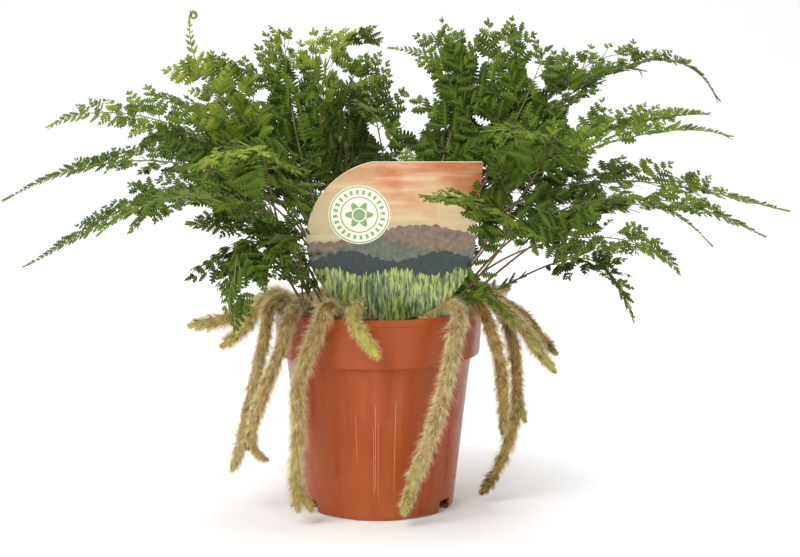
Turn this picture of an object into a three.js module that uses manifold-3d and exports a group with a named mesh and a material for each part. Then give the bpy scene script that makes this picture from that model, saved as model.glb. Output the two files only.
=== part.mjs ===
// A hare's-foot type fern in a round plastic nursery pot: furry stems creep over the rim and hang down,
// and cut fronds rise from the crown and arch out on every side. A picture card on a stake stands in front.
// Millimetres, +Z up. The origin is the centre of the pot's flat base, and the front of the pot faces -Y.
import * as THREE from "three";
import { mergeVertices } from "three/addons/utils/BufferGeometryUtils.js";
import Module from "manifold-3d";

const wasm = await Module();
wasm.setup();

// Pot
const potHeight = 116.5;
const potWall = 1.4;
const potFloor = 2.0;
const potBaseRadius = 43.0;
const potShoulderRadius = 53.0;
const potBandHeight = 27.5;
const potBandFootRadius = 58.0;
const potRimRadius = 60.0;
const potSides = 40;
const drainAngles = [30, 150, 210, 330];
const drainWidth = 11.0;
const drainHeight = 7.0;
const drainDepth = 9.0; // inwards from the wall's foot
const ventAngles = [58, 122, 238, 302];
const ventWidth = 20.0;
const ventHeight = 1.2;
const ventDepth = 7.0;

// Soil
const soilLevel = 111.0;
const soilEdge = 2.0; // bevel round its top edge
const soilSides = potSides / 2;
const seatGap = 0.3; // between pieces that touch

// Picture card
const cardRadius = 45.6;
const cardTop = 44.5; // height of the straight top edge over the card's centre
const cardCorner = 49.0; // reach of the square corner
const cardThickness = 1.0;
const cardCentre = new THREE.Vector3(7.4, -49, 158.2);
const cardLean = 12; // degrees, its top towards the front
const stakeWidth = 14.0;
const stakeEnd = -92.0; // the stake's point, under the card's centre
const stakePoint = 14.0; // length of its pointed end

// Fronds
const stalkHalf = 0.9; // half the side of the square stalk
const ribHalfWidth = 0.8;
const bladeHalf = 0.4; // half the blade's thickness
const footDepth = 7.0; // how far a stalk stands in the soil
const leafletWidthShare = 0.36; // half width of a leaflet as a share of its length
const leafletSkew = 0.12;
const leafletDroop = 0.1;
const leastLeaflet = 0.06; // share of the longest leaflet's length that the last one has
const ribEnd = 0.95; // share of the length where the midrib gives way to the end leaflet
const baseAngle = 62; // degrees between midrib and lowest leaflets
const endAngle = 38;

// Furry creeping stems
const creeperRadius = 4.8;
const creeperSides = 7;
const creeperStep = 15; // length of one ring to the next
const creeperNose = 0.4; // length of the rounded tip as a share of the radius
const creeperRoot = 0.66; // share of the full radius at the root
const creeperTip = 0.62; // and at the growing tip
const creeperGrowth = 130; // length over which its radius would double at the root
const budShare = 0.8; // a side bud's radius as a share of its stem's
// How each one climbs out of the soil and over the rim: distance from the pot's axis, and height.
const rimCrossing = [[48, 104], [50.8, 113], [54.4, 120.9], [60.3, 123.3], [66.7, 119]];

const up = new THREE.Vector3(0, 0, 1);
const radians = THREE.MathUtils.degToRad;

// ---------------------------------------------------------------- meshes and solids

class Skin {
  constructor() {
    this.points = [];
    this.triangles = [];
  }
  point(p) {
    this.points.push(p.x, p.y, p.z);
    return this.points.length / 3 - 1;
  }
  // The point twice, half a thickness above and below the middle surface.
  pair(p, normal, half) {
    return [
      this.point(p.clone().addScaledVector(normal, half)),
      this.point(p.clone().addScaledVector(normal, -half)),
    ];
  }
  triangle(a, b, c) {
    this.triangles.push(a, b, c);
  }
  // A triangle on both faces of a plate; each corner is a pair [above, below].
  plate(a, b, c, mirrored) {
    const [p, q] = mirrored ? [c, b] : [b, c];
    this.triangle(a[0], p[0], q[0]);
    this.triangle(a[1], q[1], p[1]);
  }
  // The edge of a plate from pair a to pair b, walked with the outside on the right.
  wall(a, b, mirrored) {
    const [p, q] = mirrored ? [b, a] : [a, b];
    this.triangle(p[0], p[1], q[1]);
    this.triangle(p[0], q[1], q[0]);
  }
  geometry() {
    const made = new THREE.BufferGeometry();
    made.setAttribute("position", new THREE.Float32BufferAttribute(this.points, 3));
    made.setIndex(this.triangles);
    return made;
  }
}

function solidFrom(geometry) {
  const bare = geometry.clone();
  bare.deleteAttribute("normal");
  bare.deleteAttribute("uv");
  const merged = mergeVertices(bare, 1e-4);
  const triVerts = [];
  for (let i = 0; i < merged.index.count; i += 3) {
    const [a, b, c] = [0, 1, 2].map((k) => merged.index.getX(i + k));
    if (a !== b && b !== c && c !== a) triVerts.push(a, b, c);
  }
  return new wasm.Manifold(
    new wasm.Mesh({
      numProp: 3,
      vertProperties: merged.attributes.position.array,
      triVerts: new Uint32Array(triVerts),
    }),
  );
}

function geometryFrom(solid) {
  const mesh = solid.getMesh();
  const made = new THREE.BufferGeometry();
  made.setAttribute("position", new THREE.BufferAttribute(new Float32Array(mesh.vertProperties), 3));
  made.setIndex(new THREE.BufferAttribute(new Uint32Array(mesh.triVerts), 1));
  return made;
}

function turned(profile, sides) {
  const points = profile.map(([radius, height]) => new THREE.Vector2(radius, height));
  return new THREE.LatheGeometry(points, sides).rotateX(Math.PI / 2);
}

// A cubic curve that passes its four points at 0, 1/3, 2/3 and 1.
class FourPointCurve extends THREE.Curve {
  constructor(points) {
    super();
    this.points = points;
  }
  getPoint(t, target = new THREE.Vector3()) {
    const [a, b, c] = [t - 1 / 3, t - 2 / 3, t - 1];
    const weights = [-4.5 * a * b * c, 13.5 * t * b * c, -13.5 * t * a * c, 4.5 * t * a * b];
    target.set(0, 0, 0);
    weights.forEach((weight, i) => target.addScaledVector(this.points[i], weight));
    return target;
  }
}

// ---------------------------------------------------------------- pot and soil

function wallRadius(height) {
  return THREE.MathUtils.lerp(potBaseRadius, potShoulderRadius, height / (potHeight - potBandHeight));
}

function makePot() {
  const shoulder = potHeight - potBandHeight;
  const profile = [
    [0, 0],
    [potBaseRadius - 1, 0],
    [potBaseRadius, 1],
    [potShoulderRadius, shoulder - 1],
    [potBandFootRadius, shoulder],
    [potRimRadius, potHeight],
    [potRimRadius - potWall, potHeight],
    [potBandFootRadius - potWall, shoulder + potWall],
    [potShoulderRadius - potWall, shoulder],
    [potBaseRadius - potWall, potFloor],
    [0, potFloor],
  ];
  let pot = solidFrom(turned(profile, potSides));
  const openings = [
    ...drainAngles.map((angle) => ({ angle, width: drainWidth, height: drainHeight, depth: drainDepth })),
    ...ventAngles.map((angle) => ({ angle, width: ventWidth, height: ventHeight, depth: ventDepth })),
  ];
  for (const { angle, width, height, depth } of openings) {
    const reach = depth + 4;
    const cutter = new THREE.BoxGeometry(reach, width, 2 * height)
      .translate(potBaseRadius - depth + reach / 2, 0, 0)
      .rotateZ(radians(-angle));
    pot = pot.subtract(solidFrom(cutter));
  }
  return geometryFrom(pot);
}

function makeSoil(holes) {
  const shoulder = potHeight - potBandHeight;
  const inside = potWall + seatGap;
  const edgeHeight = soilLevel - soilEdge;
  const bandShare = (edgeHeight - shoulder - potWall) / (potBandHeight - potWall);
  const bandInner = THREE.MathUtils.lerp(potBandFootRadius, potRimRadius, bandShare) - inside;
  const profile = [
    [0, potFloor + seatGap],
    [wallRadius(potFloor) - inside - seatGap, potFloor + seatGap],
    [potShoulderRadius - inside, shoulder + seatGap / 2],
    [potBandFootRadius - inside, shoulder + potWall + 2 * seatGap],
    [bandInner, edgeHeight],
    [bandInner - soilEdge, soilLevel],
    [0, soilLevel],
  ];
  let soil = solidFrom(turned(profile, soilSides));
  for (const hole of holes) soil = soil.subtract(hole);
  return geometryFrom(soil);
}

// ---------------------------------------------------------------- picture card

function makeCard(margin) {
  const shape = new THREE.Shape();
  const stakeHalf = stakeWidth / 2;
  const topLeft = Math.PI - Math.asin(cardTop / cardRadius);
  const stakeJoin = Math.asin(stakeHalf / cardRadius);
  shape.moveTo(cardCorner, cardTop);
  shape.lineTo(cardRadius * Math.cos(topLeft), cardTop);
  shape.absarc(0, 0, cardRadius, topLeft, Math.PI * 1.5 - stakeJoin, false);
  shape.lineTo(-stakeHalf, stakeEnd + stakePoint);
  shape.lineTo(0, stakeEnd);
  shape.lineTo(stakeHalf, stakeEnd + stakePoint);
  shape.absarc(0, 0, cardRadius, Math.PI * 1.5 + stakeJoin, Math.PI * 2, false);
  const depth = cardThickness + 2 * margin;
  const card = new THREE.ExtrudeGeometry(shape, { depth, bevelEnabled: false, curveSegments: 10 });
  return card
    .translate(0, 0, -depth / 2)
    .scale(1 + (2 * margin) / stakeWidth, 1 + margin / -stakeEnd, 1)
    .rotateX(Math.PI / 2 + radians(cardLean))
    .translate(cardCentre.x, cardCentre.y, cardCentre.z);
}

// ---------------------------------------------------------------- furry creeping stems

// Compass angle at which each crosses the rim, from +X towards +Y in degrees, then the points that it
// passes outside the pot; the last point is its growing tip.
const creepers = {
  creeper_left_1: { rim: -174, route: [[-76, -3, 113], [-92, -1, 106], [-109, 1, 103]] },
  creeper_left_2: {
    rim: -154,
    route: [
      [-62, -33, 106], [-68, -31, 80], [-74, -29, 54],
      [-78, -26, 37], [-83, -22, 23],
    ],
  },
  creeper_left_3: { rim: -134, route: [[-53, -53, 98], [-60, -51, 80], [-67, -48, 60], [-72, -45, 42]] },
  creeper_left_4: {
    rim: -116,
    route: [
      [-37, -64, 100], [-43, -64, 79], [-43, -60, 56],
      [-45, -56, 28], [-44, -51, 8],
    ],
  },
  creeper_left_5: { rim: -164, route: [[-72, -20, 110], [-80, -22, 101], [-88, -22, 95]] },
  creeper_front_1: { rim: -101, route: [[-7, -70, 109], [1, -71, 98]] },
  creeper_front_2: {
    rim: -48,
    route: [
      [42, -60, 107], [39, -66, 92], [34, -64, 72],
      [28, -60, 50], [21, -58, 31], [14, -56, 8],
    ],
  },
  creeper_right_1: { rim: -31, route: [[64, -36, 102], [68, -34, 87], [70, -31, 62], [70, -28, 46]] },
  creeper_right_2: {
    rim: -6,
    route: [
      [74, -7, 104], [78, -9, 84], [79, -8, 60],
      [76, -8, 42], [69, -8, 22], [59, -8, 6],
    ],
  },
  creeper_right_3: { rim: -18, route: [[76, -20, 111], [84, -18, 101], [92, -14, 89], [101, -10, 78]] },
  creeper_right_4: { rim: 13, route: [[84, 14, 106], [96, 16, 92], [104, 18, 83]] },
  creeper_back_1: { rim: 110, route: [[-27, 68, 100], [-26, 70, 74], [-20, 67, 46]] },
  creeper_back_2: { rim: 58, route: [[42, 65, 100], [50, 69, 74]] },
  creeper_back_3: { rim: 34, route: [[66, 40, 116], [78, 46, 118]] },
};

// A side bud fused to its stem.
const creeperBuds = {
  creeper_left_3: [[-69, -47, 52], [-68, -43, 40], [-61, -40, 34]],
  creeper_left_4: [[-45, -56, 26], [-40, -53, 16], [-36, -51, 8]],
  creeper_right_2: [[79, -9, 66], [82, -10, 55], [84, -11, 49]],
};

function creeperRoute({ rim, route }) {
  const angle = radians(rim);
  const [x, y] = [Math.cos(angle), Math.sin(angle)];
  const crossing = rimCrossing.map(([radius, height]) => [radius * x, radius * y, height]);
  return [...crossing, ...route];
}

function tube(route, radius, margin) {
  const curve = new THREE.CatmullRomCurve3(route.map((p) => new THREE.Vector3(...p)), false, "centripetal");
  const rings = Math.max(4, Math.round(curve.getLength() / creeperStep));
  const nose = (creeperNose * radius) / curve.getLength();
  const frames = curve.computeFrenetFrames(rings, false);
  const skin = new Skin();
  const first = skin.point(curve.getPointAt(0).addScaledVector(frames.tangents[0], -margin));
  for (let ring = 0; ring <= rings; ring++) {
    const share = ring / rings;
    const distance = share * curve.getLength();
    const taper = Math.min(1, creeperRoot + distance / creeperGrowth, creeperTip + 1.5 * (1 - share));
    const swell = 1 + 0.06 * Math.sin(ring * 2.4);
    const centre = curve.getPointAt(share === 1 ? 1 - nose : share);
    for (let side = 0; side < creeperSides; side++) {
      const angle = (2 * Math.PI * side) / creeperSides;
      const across = frames.normals[ring].clone().multiplyScalar(Math.cos(angle));
      across.addScaledVector(frames.binormals[ring], Math.sin(angle));
      skin.point(centre.clone().addScaledVector(across, radius * taper * swell + margin));
    }
  }
  const last = skin.point(curve.getPointAt(1).addScaledVector(frames.tangents[rings], creeperNose * radius));
  for (let side = 0; side < creeperSides; side++) {
    const next = (side + 1) % creeperSides;
    skin.triangle(first, 1 + next, 1 + side);
    for (let ring = 0; ring < rings; ring++) {
      const a = 1 + ring * creeperSides;
      const b = a + creeperSides;
      skin.triangle(a + side, a + next, b + next);
      skin.triangle(a + side, b + next, b + side);
    }
    const end = 1 + rings * creeperSides;
    skin.triangle(end + side, end + next, last);
  }
  return solidFrom(skin.geometry());
}

// ---------------------------------------------------------------- fronds

// name: foot x, y; midrib at one third, two thirds and the tip; longest leaflet; share of the stalk
// that is bare; pairs of leaflets; roll of the blade about its midrib and lift of its sides, in degrees;
// taper, which is 1 for leaflets that shorten evenly to the tip, less for a blunt blade, more for a slim tail.
const fronds = {
  frond_left_1: [[-22, 3], [-73, 0, 182], [-148, 0, 197], [-213, 0, 174], 34, 0.36, 7, 38, 18, 1.25],
  frond_left_2: [[-27, -5], [-83, -20, 179], [-150, -38, 167], [-192, -50, 144], 34, 0.4, 7, 38, 20, 1.2],
  frond_left_3: [[-33, -14], [-64, -45, 168], [-108, -65, 183], [-146, -80, 164], 26, 0.42, 6, 20, 10, 1.0],
  frond_left_4: [[-20, 15], [-81, 30, 194], [-153, 50, 222], [-199, 60, 211], 40, 0.4, 7, 60, 0, 0.9],
  frond_left_5: [[-12, 18], [-62, 25, 193], [-98, 30, 239], [-109, 35, 279], 38, 0.58, 5, 80, 10, 1.5],
  frond_left_6: [[-14, 30], [-47, 50, 178], [-71, 75, 220], [-106, 85, 254], 50, 0.44, 6, 35, 10, 0.55],
  frond_left_7: [[-24, 24], [-59, 50, 176], [-101, 85, 215], [-142, 105, 231], 50, 0.42, 5, -20, 10, 0.6],
  frond_left_8: [[-29, 11], [-65, 15, 171], [-104, 20, 209], [-140, 25, 202], 42, 0.42, 5, -40, 0, 0.7],
  frond_left_9: [[-37, -5], [-50, -17, 152], [-76, -30, 165], [-105, -40, 166], 22, 0.45, 5, 50, 10, 0.6],
  frond_left_10: [[-42, -27], [-43, -42, 143], [-50, -50, 156], [-58, -53, 167], 22, 0.4, 4, 0, 10, 0.6],
  frond_front_1: [[-27, -16], [-54, -62, 176], [-58, -118, 212], [-88, -160, 206], 40, 0.45, 6, 0, -10, 0.7],
  frond_front_2: [[-34, -23], [-58, -48, 152], [-70, -86, 161], [-72, -105, 118], 50, 0.4, 7, 0, -35, 0.9],
  frond_front_3: [[-22, -28], [-43, -52, 150], [-53, -74, 164], [-62, -90, 140], 38, 0.42, 6, 0, 0, 0.6],
  frond_front_4: [[27, -26], [66, -66, 157], [62, -106, 181], [21, -128, 191], 44, 0.45, 6, 25, 0, 0.7],
  frond_front_5: [[37, -29], [50, -39, 127], [62, -49, 128], [74, -59, 112], 18, 0.4, 4, 0, 0, 0.8],
  frond_front_6: [[26, -14], [66, -50, 167], [87, -85, 210], [52, -115, 221], 44, 0.45, 6, 30, 0, 0.8],
  frond_middle_1: [[-8, 8], [-35, 20, 165], [-50, 40, 218], [-57, 66, 270], 54, 0.52, 6, 0, 10, 0.6],
  frond_middle_2: [[-3, 24], [-29, 34, 178], [-32, 45, 246], [2, 62, 263], 44, 0.5, 6, 40, 20, 0.7],
  frond_middle_3: [[3, 14], [8, 20, 162], [-2, 30, 222], [-6, 35, 259], 38, 0.45, 6, 20, 10, 0.55],
  frond_middle_4: [[-8, -4], [-15, 0, 173], [-18, -10, 228], [12, -25, 207], 34, 0.5, 6, 0, 0, 0.8],
  frond_middle_5: [[12, 7], [30, 20, 165], [46, 40, 220], [86, 55, 272], 46, 0.5, 6, -60, 10, 0.5],
  frond_middle_6: [[8, 26], [27, 45, 171], [42, 70, 226], [31, 85, 269], 50, 0.5, 6, 0, 10, 0.5],
  frond_middle_7: [[17, 30], [42, 55, 176], [46, 90, 235], [4, 105, 259], 34, 0.45, 5, 30, 20, 1.3],
  frond_middle_8: [[-1, 3], [-19, 10, 180], [-16, 16, 228], [-18, 20, 259], 36, 0.5, 6, 20, 10, 0.6],
  frond_middle_9: [[13, 17], [31, 35, 169], [42, 50, 230], [49, 58, 271], 46, 0.5, 6, 0, 10, 0.5],
  frond_right_1: [[22, 10], [53, 20, 168], [80, 40, 218], [99, 60, 261], 54, 0.46, 6, -60, 10, 0.5],
  frond_right_2: [[27, 18], [69, 45, 192], [147, 70, 249], [207, 85, 226], 46, 0.4, 7, -20, 35, 1.2],
  frond_right_3: [[24, 27], [67, 70, 190], [121, 105, 244], [164, 118, 252], 44, 0.42, 6, -20, 35, 0.6],
  frond_right_4: [[29, 8], [70, 11, 183], [144, 20, 217], [192, 25, 222], 42, 0.4, 6, -15, 40, 0.9],
  frond_right_5: [[29, -5], [68, -15, 177], [139, -28, 213], [193, -35, 212], 42, 0.4, 6, -20, 35, 1.3],
  frond_right_6: [[36, 7], [86, 5, 177], [168, 10, 183], [237, 15, 167], 40, 0.38, 7, -25, 20, 1.1],
  frond_right_7: [[36, -7], [90, -20, 166], [152, -30, 179], [213, -35, 158], 38, 0.4, 6, -20, 10, 1.0],
  frond_right_8: [[34, -14], [74, -42, 150], [127, -60, 161], [161, -65, 141], 32, 0.4, 6, -40, 10, 0.8],
  frond_right_9: [[29, 1], [88, 2, 134], [121, -19, 143], [141, -38, 111], 26, 0.5, 5, -20, 10, 0.8],
  frond_right_10: [[38, 14], [68, 24, 151], [109, 35, 170], [155, 45, 163], 40, 0.42, 6, -30, 0, 0.7],
  frond_right_11: [[25, 20], [60, 50, 176], [122, 70, 235], [160, 80, 242], 32, 0.45, 6, -20, 10, 0.6],
  frond_right_12: [[31, -23], [95, -24, 159], [143, -38, 177], [182, -44, 154], 18, 0.45, 6, -20, 10, 1.0],
  frond_back_1: [[-20, 36], [-52, 75, 168], [-88, 115, 206], [-124, 146, 190], 42, 0.42, 5, 0, 10, 0.7],
  frond_back_2: [[-6, 36], [-16, 82, 172], [-26, 132, 206], [-34, 180, 186], 44, 0.42, 5, 0, 10, 0.7],
  frond_back_3: [[6, 36], [16, 80, 158], [30, 122, 186], [44, 160, 160], 40, 0.42, 5, 0, 10, 0.7],
  frond_back_4: [[33, 33], [62, 72, 164], [96, 108, 196], [132, 138, 176], 42, 0.42, 5, 0, 10, 0.7],
  frond_back_5: [[-32, 28], [-74, 62, 154], [-118, 88, 172], [-160, 108, 142], 38, 0.42, 5, 0, 10, 0.7],
};

// A leaflet's outline runs out along its rib in steps: a lobe that stands out to each side, then the neck
// behind its cut. Each is a share of the leaflet's length and a share of its half width, and the side
// towards the frond's tip comes later by leafletSkew.
const leafletKinds = [
  { over: 49, steps: [{ lobe: [0.24, 1], neck: [0.3, 0.34] }, { lobe: [0.52, 0.92], neck: [0.58, 0.34] }] },
  { over: 22, steps: [{ lobe: [0.34, 1], neck: [0.42, 0.42] }] },
  { over: 8, steps: [{ neck: [0.34, 0.85] }] },
  { over: 0, steps: [] },
];

function frondCurve([foot, ...rest]) {
  const start = new THREE.Vector3(foot[0], foot[1], soilLevel - footDepth);
  return new FourPointCurve([start, ...rest.slice(0, 3).map((p) => new THREE.Vector3(...p))]);
}

// The point of the midrib at a share of its length, with its forward, sideways and upper directions.
function ribFrame(curve, share, roll) {
  const centre = curve.getPointAt(share);
  const forward = curve.getTangentAt(share);
  const outward = curve.points[3].clone().sub(curve.points[0]).setZ(0).normalize();
  const side = outward.cross(up).projectOnPlane(forward).normalize();
  side.applyAxisAngle(forward, radians(-roll));
  const upper = side.clone().cross(forward);
  return { centre, forward, side, upper };
}

// A leaflet between two stations of the midrib. hand is 1 on the blade's left and -1 on its right.
function leafletPoints(near, far, hand, length, reach, angle, fold) {
  const middle = near.centre.clone().add(far.centre).multiplyScalar(0.5);
  const out = near.side.clone().multiplyScalar(hand * Math.cos(fold));
  out.addScaledVector(near.upper, Math.sin(fold)).normalize();
  const upper = near.upper.clone().multiplyScalar(Math.cos(fold));
  upper.addScaledVector(near.side, -hand * Math.sin(fold));
  const [sine, cosine] = [Math.sin(angle), Math.cos(angle)];
  const along = out.clone().multiplyScalar(sine).addScaledVector(near.forward, cosine);
  const across = out.clone().multiplyScalar(-cosine).addScaledVector(near.forward, sine);
  const at = (share, sideways) =>
    middle
      .clone()
      .addScaledVector(along, share * length)
      .addScaledVector(across, sideways)
      .addScaledVector(upper, -leafletDroop * length * share * share);
  const kind = leafletKinds.find(({ over }) => length > over);
  const steps = kind.steps.map(({ lobe, neck }) => ({
    low: at(neck[0], -neck[1] * reach),
    high: at(neck[0] + leafletSkew, neck[1] * reach),
    lowLobe: lobe && at(lobe[0], -lobe[1] * reach),
    highLobe: lobe && at(lobe[0] + leafletSkew, lobe[1] * reach),
  }));
  return { steps, end: at(1, 0), upper };
}

// Adds a leaflet's two faces and its edge to a skin, from the pairs low and high on the midrib.
function addLeaflet(skin, low, high, leaflet, half, mirrored) {
  const pair = (p) => skin.pair(p, leaflet.upper, half);
  const lowEdge = [low];
  const highEdge = [high];
  for (const step of leaflet.steps) {
    const [nextLow, nextHigh] = [pair(step.low), pair(step.high)];
    skin.plate(low, nextLow, nextHigh, mirrored);
    skin.plate(low, nextHigh, high, mirrored);
    if (step.lowLobe) {
      const [lowLobe, highLobe] = [pair(step.lowLobe), pair(step.highLobe)];
      skin.plate(low, lowLobe, nextLow, mirrored);
      skin.plate(nextHigh, highLobe, high, mirrored);
      lowEdge.push(lowLobe);
      highEdge.push(highLobe);
    }
    lowEdge.push(nextLow);
    highEdge.push(nextHigh);
    [low, high] = [nextLow, nextHigh];
  }
  const end = pair(leaflet.end);
  skin.plate(low, end, high, mirrored);
  const edge = [...lowEdge, end, ...highEdge.reverse()];
  for (let i = 1; i < edge.length; i++) skin.wall(edge[i - 1], edge[i], mirrored);
}

function leafletSolid(near, far, hand, leaflet, half) {
  const skin = new Skin();
  const corner = (frame) =>
    skin.pair(frame.centre.clone().addScaledVector(frame.side, hand * ribHalfWidth), frame.upper, half);
  const [low, high] = [corner(near), corner(far)];
  addLeaflet(skin, low, high, leaflet, half, hand < 0);
  skin.wall(high, low, hand < 0);
  return solidFrom(skin.geometry());
}

// The stations of a frond's midrib: the bare stalk, then a short seat and a gap for each pair of leaflets.
function frondStations(length, bare, pairs) {
  const stations = [0, 0.13, 0.26].filter((share) => share < bare - 0.04).map((share) => ({ share }));
  for (let i = 0; i < pairs; i++) {
    const place = 1 - (1 - i / pairs) ** 1.15;
    const share = bare + (ribEnd - bare) * place;
    const nextPlace = 1 - (1 - (i + 1) / pairs) ** 1.15;
    const spacing = (ribEnd - bare) * (nextPlace - place) * length;
    const seat = Math.min(3.2, 0.45 * spacing) / length;
    stations.push({ share, place, spacing }, { share: share + seat });
  }
  stations.push({ share: ribEnd });
  return stations;
}

function makeFrondFrame(name, row) {
  const [longest, bare, pairs, roll, lift, taper] = row.slice(4);
  const curve = frondCurve(row);
  const stations = frondStations(curve.getLength(), bare, pairs);
  for (const station of stations) station.frame = ribFrame(curve, station.share, roll);
  return { name, curve, stations, longest, bare, lift, taper, leaflets: new Map() };
}

// The midrib and stalk with the leaflets that have been placed on it so far.
function frondSkin(frond, margin, lastStation) {
  const skin = new Skin();
  const stations = frond.stations.slice(0, lastStation);
  const rows = stations.map(({ share, frame }) => {
    const grown = Math.min(1, share / frond.bare);
    const width = THREE.MathUtils.lerp(stalkHalf, ribHalfWidth, grown) + margin;
    const half = THREE.MathUtils.lerp(stalkHalf, bladeHalf, grown ** 2) + margin;
    const start = frame.centre.clone().addScaledVector(frame.forward, share === 0 ? -margin : 0);
    return {
      left: skin.pair(start.clone().addScaledVector(frame.side, width), frame.upper, half),
      right: skin.pair(start.clone().addScaledVector(frame.side, -width), frame.upper, half),
    };
  });
  skin.wall(rows[0].right, rows[0].left, false);
  for (let i = 1; i < rows.length; i++) {
    const [a, b] = [rows[i - 1], rows[i]];
    skin.plate(a.right, a.left, b.left, false);
    skin.plate(a.right, b.left, b.right, false);
    for (const [hand, low, high] of [[1, a.left, b.left], [-1, a.right, b.right]]) {
      const leaflet = frond.leaflets.get(hand * i);
      if (leaflet) addLeaflet(skin, low, high, leaflet, bladeHalf, hand < 0);
      else skin.wall(low, high, hand < 0);
    }
  }
  const last = rows[rows.length - 1];
  if (lastStation) {
    skin.wall(last.left, last.right, false);
    return skin;
  }
  const tip = skin.pair(frond.curve.getPointAt(1), stations.at(-1).frame.upper, bladeHalf);
  skin.plate(last.right, last.left, tip, false);
  skin.wall(last.left, tip, false);
  skin.wall(tip, last.right, false);
  return skin;
}

// ---------------------------------------------------------------- assembly

const folds = [0, 12, -12, 24, -24, 38, -38, 52, -52];
const shortenings = [1, 0.7, 0.45];

class Thicket {
  constructor() {
    this.pieces = [];
  }
  add(owner, solid) {
    const { min, max } = solid.boundingBox();
    const box = new THREE.Box3(new THREE.Vector3(...min), new THREE.Vector3(...max));
    this.pieces.push({ owner, solid, box });
  }
  isClear(solid, test) {
    const { min, max } = solid.boundingBox();
    const box = new THREE.Box3(new THREE.Vector3(...min), new THREE.Vector3(...max));
    return this.pieces.every(
      (piece) => !test(piece) || !piece.box.intersectsBox(box) || piece.solid.intersect(solid).isEmpty(),
    );
  }
}

// Puts a leaflet on a frond, folded up or down or shortened where another piece is in its way.
function placeLeaflet(thicket, frond, index, hand) {
  const { place, spacing, frame: near } = frond.stations[index];
  const far = frond.stations[index + 1].frame;
  const angle = radians(THREE.MathUtils.lerp(baseAngle, endAngle, place));
  const full = frond.longest * (leastLeaflet + (1 - leastLeaflet) * (1 - place) ** frond.taper);
  for (const shortening of shortenings) {
    for (const fold of folds) {
      const length = full * shortening;
      const reach = Math.min(leafletWidthShare * length, 0.46 * spacing);
      const leaflet = leafletPoints(near, far, hand, length, reach, angle, radians(frond.lift + fold));
      const own = leafletSolid(near, far, hand, leaflet, bladeHalf);
      const fat = leafletSolid(near, far, hand, leaflet, bladeHalf + seatGap);
      if (!thicket.isClear(own, (piece) => piece.owner === frond && piece.hand !== 0)) continue;
      if (!thicket.isClear(fat, (piece) => piece.owner !== frond)) continue;
      frond.leaflets.set(hand * (index + 1), leaflet);
      thicket.add(frond, own);
      return;
    }
  }
}

const colours = {
  pot: 0xb4512f,
  soil: 0x221a15,
  card: 0xe2c9a4,
  creeper: 0xa98f5f,
  frond: 0x4a7a2c,
  youngFrond: 0x86a53a,
};

function material(color, roughness) {
  return new THREE.MeshStandardMaterial({ color, roughness, metalness: 0 });
}

function named(name, geometry, finish) {
  const mesh = new THREE.Mesh(geometry, finish);
  mesh.name = name;
  return mesh;
}

const plant = new THREE.Group();
plant.name = "potted_fern";
const thicket = new Thicket();
const holes = [];

const pot = named("pot", makePot(), material(colours.pot, 0.4));
plant.add(pot);
thicket.add("pot", solidFrom(pot.geometry));

const card = named("picture_card", makeCard(0), material(colours.card, 0.45));
plant.add(card);
thicket.add("card", solidFrom(card.geometry));
holes.push(solidFrom(makeCard(seatGap)));

const creeperFinish = material(colours.creeper, 0.95);
for (const [name, creeper] of Object.entries(creepers)) {
  const route = creeperRoute(creeper);
  let solid = tube(route, creeperRadius, 0);
  if (creeperBuds[name]) solid = solid.add(tube(creeperBuds[name], creeperRadius * budShare, 0));
  plant.add(named(name, geometryFrom(solid), creeperFinish));
  thicket.add(name, solid);
  holes.push(tube(route, creeperRadius, seatGap));
}

const grown = Object.entries(fronds).map(([name, row]) => makeFrondFrame(name, row));
for (const frond of grown) {
  thicket.add(frond, solidFrom(frondSkin(frond, 0).geometry()));
  thicket.pieces.at(-1).hand = 0;
  holes.push(solidFrom(frondSkin(frond, seatGap, 2).geometry()));
}

const soil = named("soil", makeSoil(holes), material(colours.soil, 1));
plant.add(soil);
thicket.add("soil", solidFrom(soil.geometry));

for (const frond of grown) {
  frond.stations.forEach((station, index) => {
    if (station.spacing === undefined) return;
    placeLeaflet(thicket, frond, index, 1);
    placeLeaflet(thicket, frond, index, -1);
  });
  const colour = frond.name === "frond_left_5" ? colours.youngFrond : colours.frond;
  plant.add(named(frond.name, frondSkin(frond, 0).geometry(), material(colour, 0.6)));
}

export default plant;
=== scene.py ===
import math

import bmesh
import bpy
import numpy as np
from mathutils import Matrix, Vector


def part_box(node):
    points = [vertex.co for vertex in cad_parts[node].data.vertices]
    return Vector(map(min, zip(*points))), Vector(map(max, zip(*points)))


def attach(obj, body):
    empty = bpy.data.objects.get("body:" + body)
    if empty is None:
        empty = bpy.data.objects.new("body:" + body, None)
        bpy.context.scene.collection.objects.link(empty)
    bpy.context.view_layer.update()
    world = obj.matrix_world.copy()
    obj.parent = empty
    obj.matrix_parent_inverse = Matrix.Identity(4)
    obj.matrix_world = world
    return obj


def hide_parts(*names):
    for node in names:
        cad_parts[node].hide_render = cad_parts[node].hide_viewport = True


# A potted fern with furry creeping stems, built round its CAD model.
# Shapes are worked out in millimetres and turned into metres when a mesh is made.
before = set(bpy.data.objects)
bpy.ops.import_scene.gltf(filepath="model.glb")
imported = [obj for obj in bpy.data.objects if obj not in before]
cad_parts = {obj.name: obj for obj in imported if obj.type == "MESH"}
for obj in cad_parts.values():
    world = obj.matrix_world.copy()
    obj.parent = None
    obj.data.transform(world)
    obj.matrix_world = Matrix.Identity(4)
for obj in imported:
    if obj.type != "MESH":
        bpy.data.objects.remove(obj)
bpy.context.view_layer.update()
mm = 0.001
up = np.array([0.0, 0.0, 1.0])

cameraSettings = {
    "place": (0.0123, -0.9625, 0.2738),
    "pitchDown": 8.47,  # degrees
    "lens": 76.77,
    "sensor": 36,
}


def linkObject(name, data):
    made = bpy.data.objects.new(name, data)
    bpy.context.scene.collection.objects.link(made)
    return made


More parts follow.
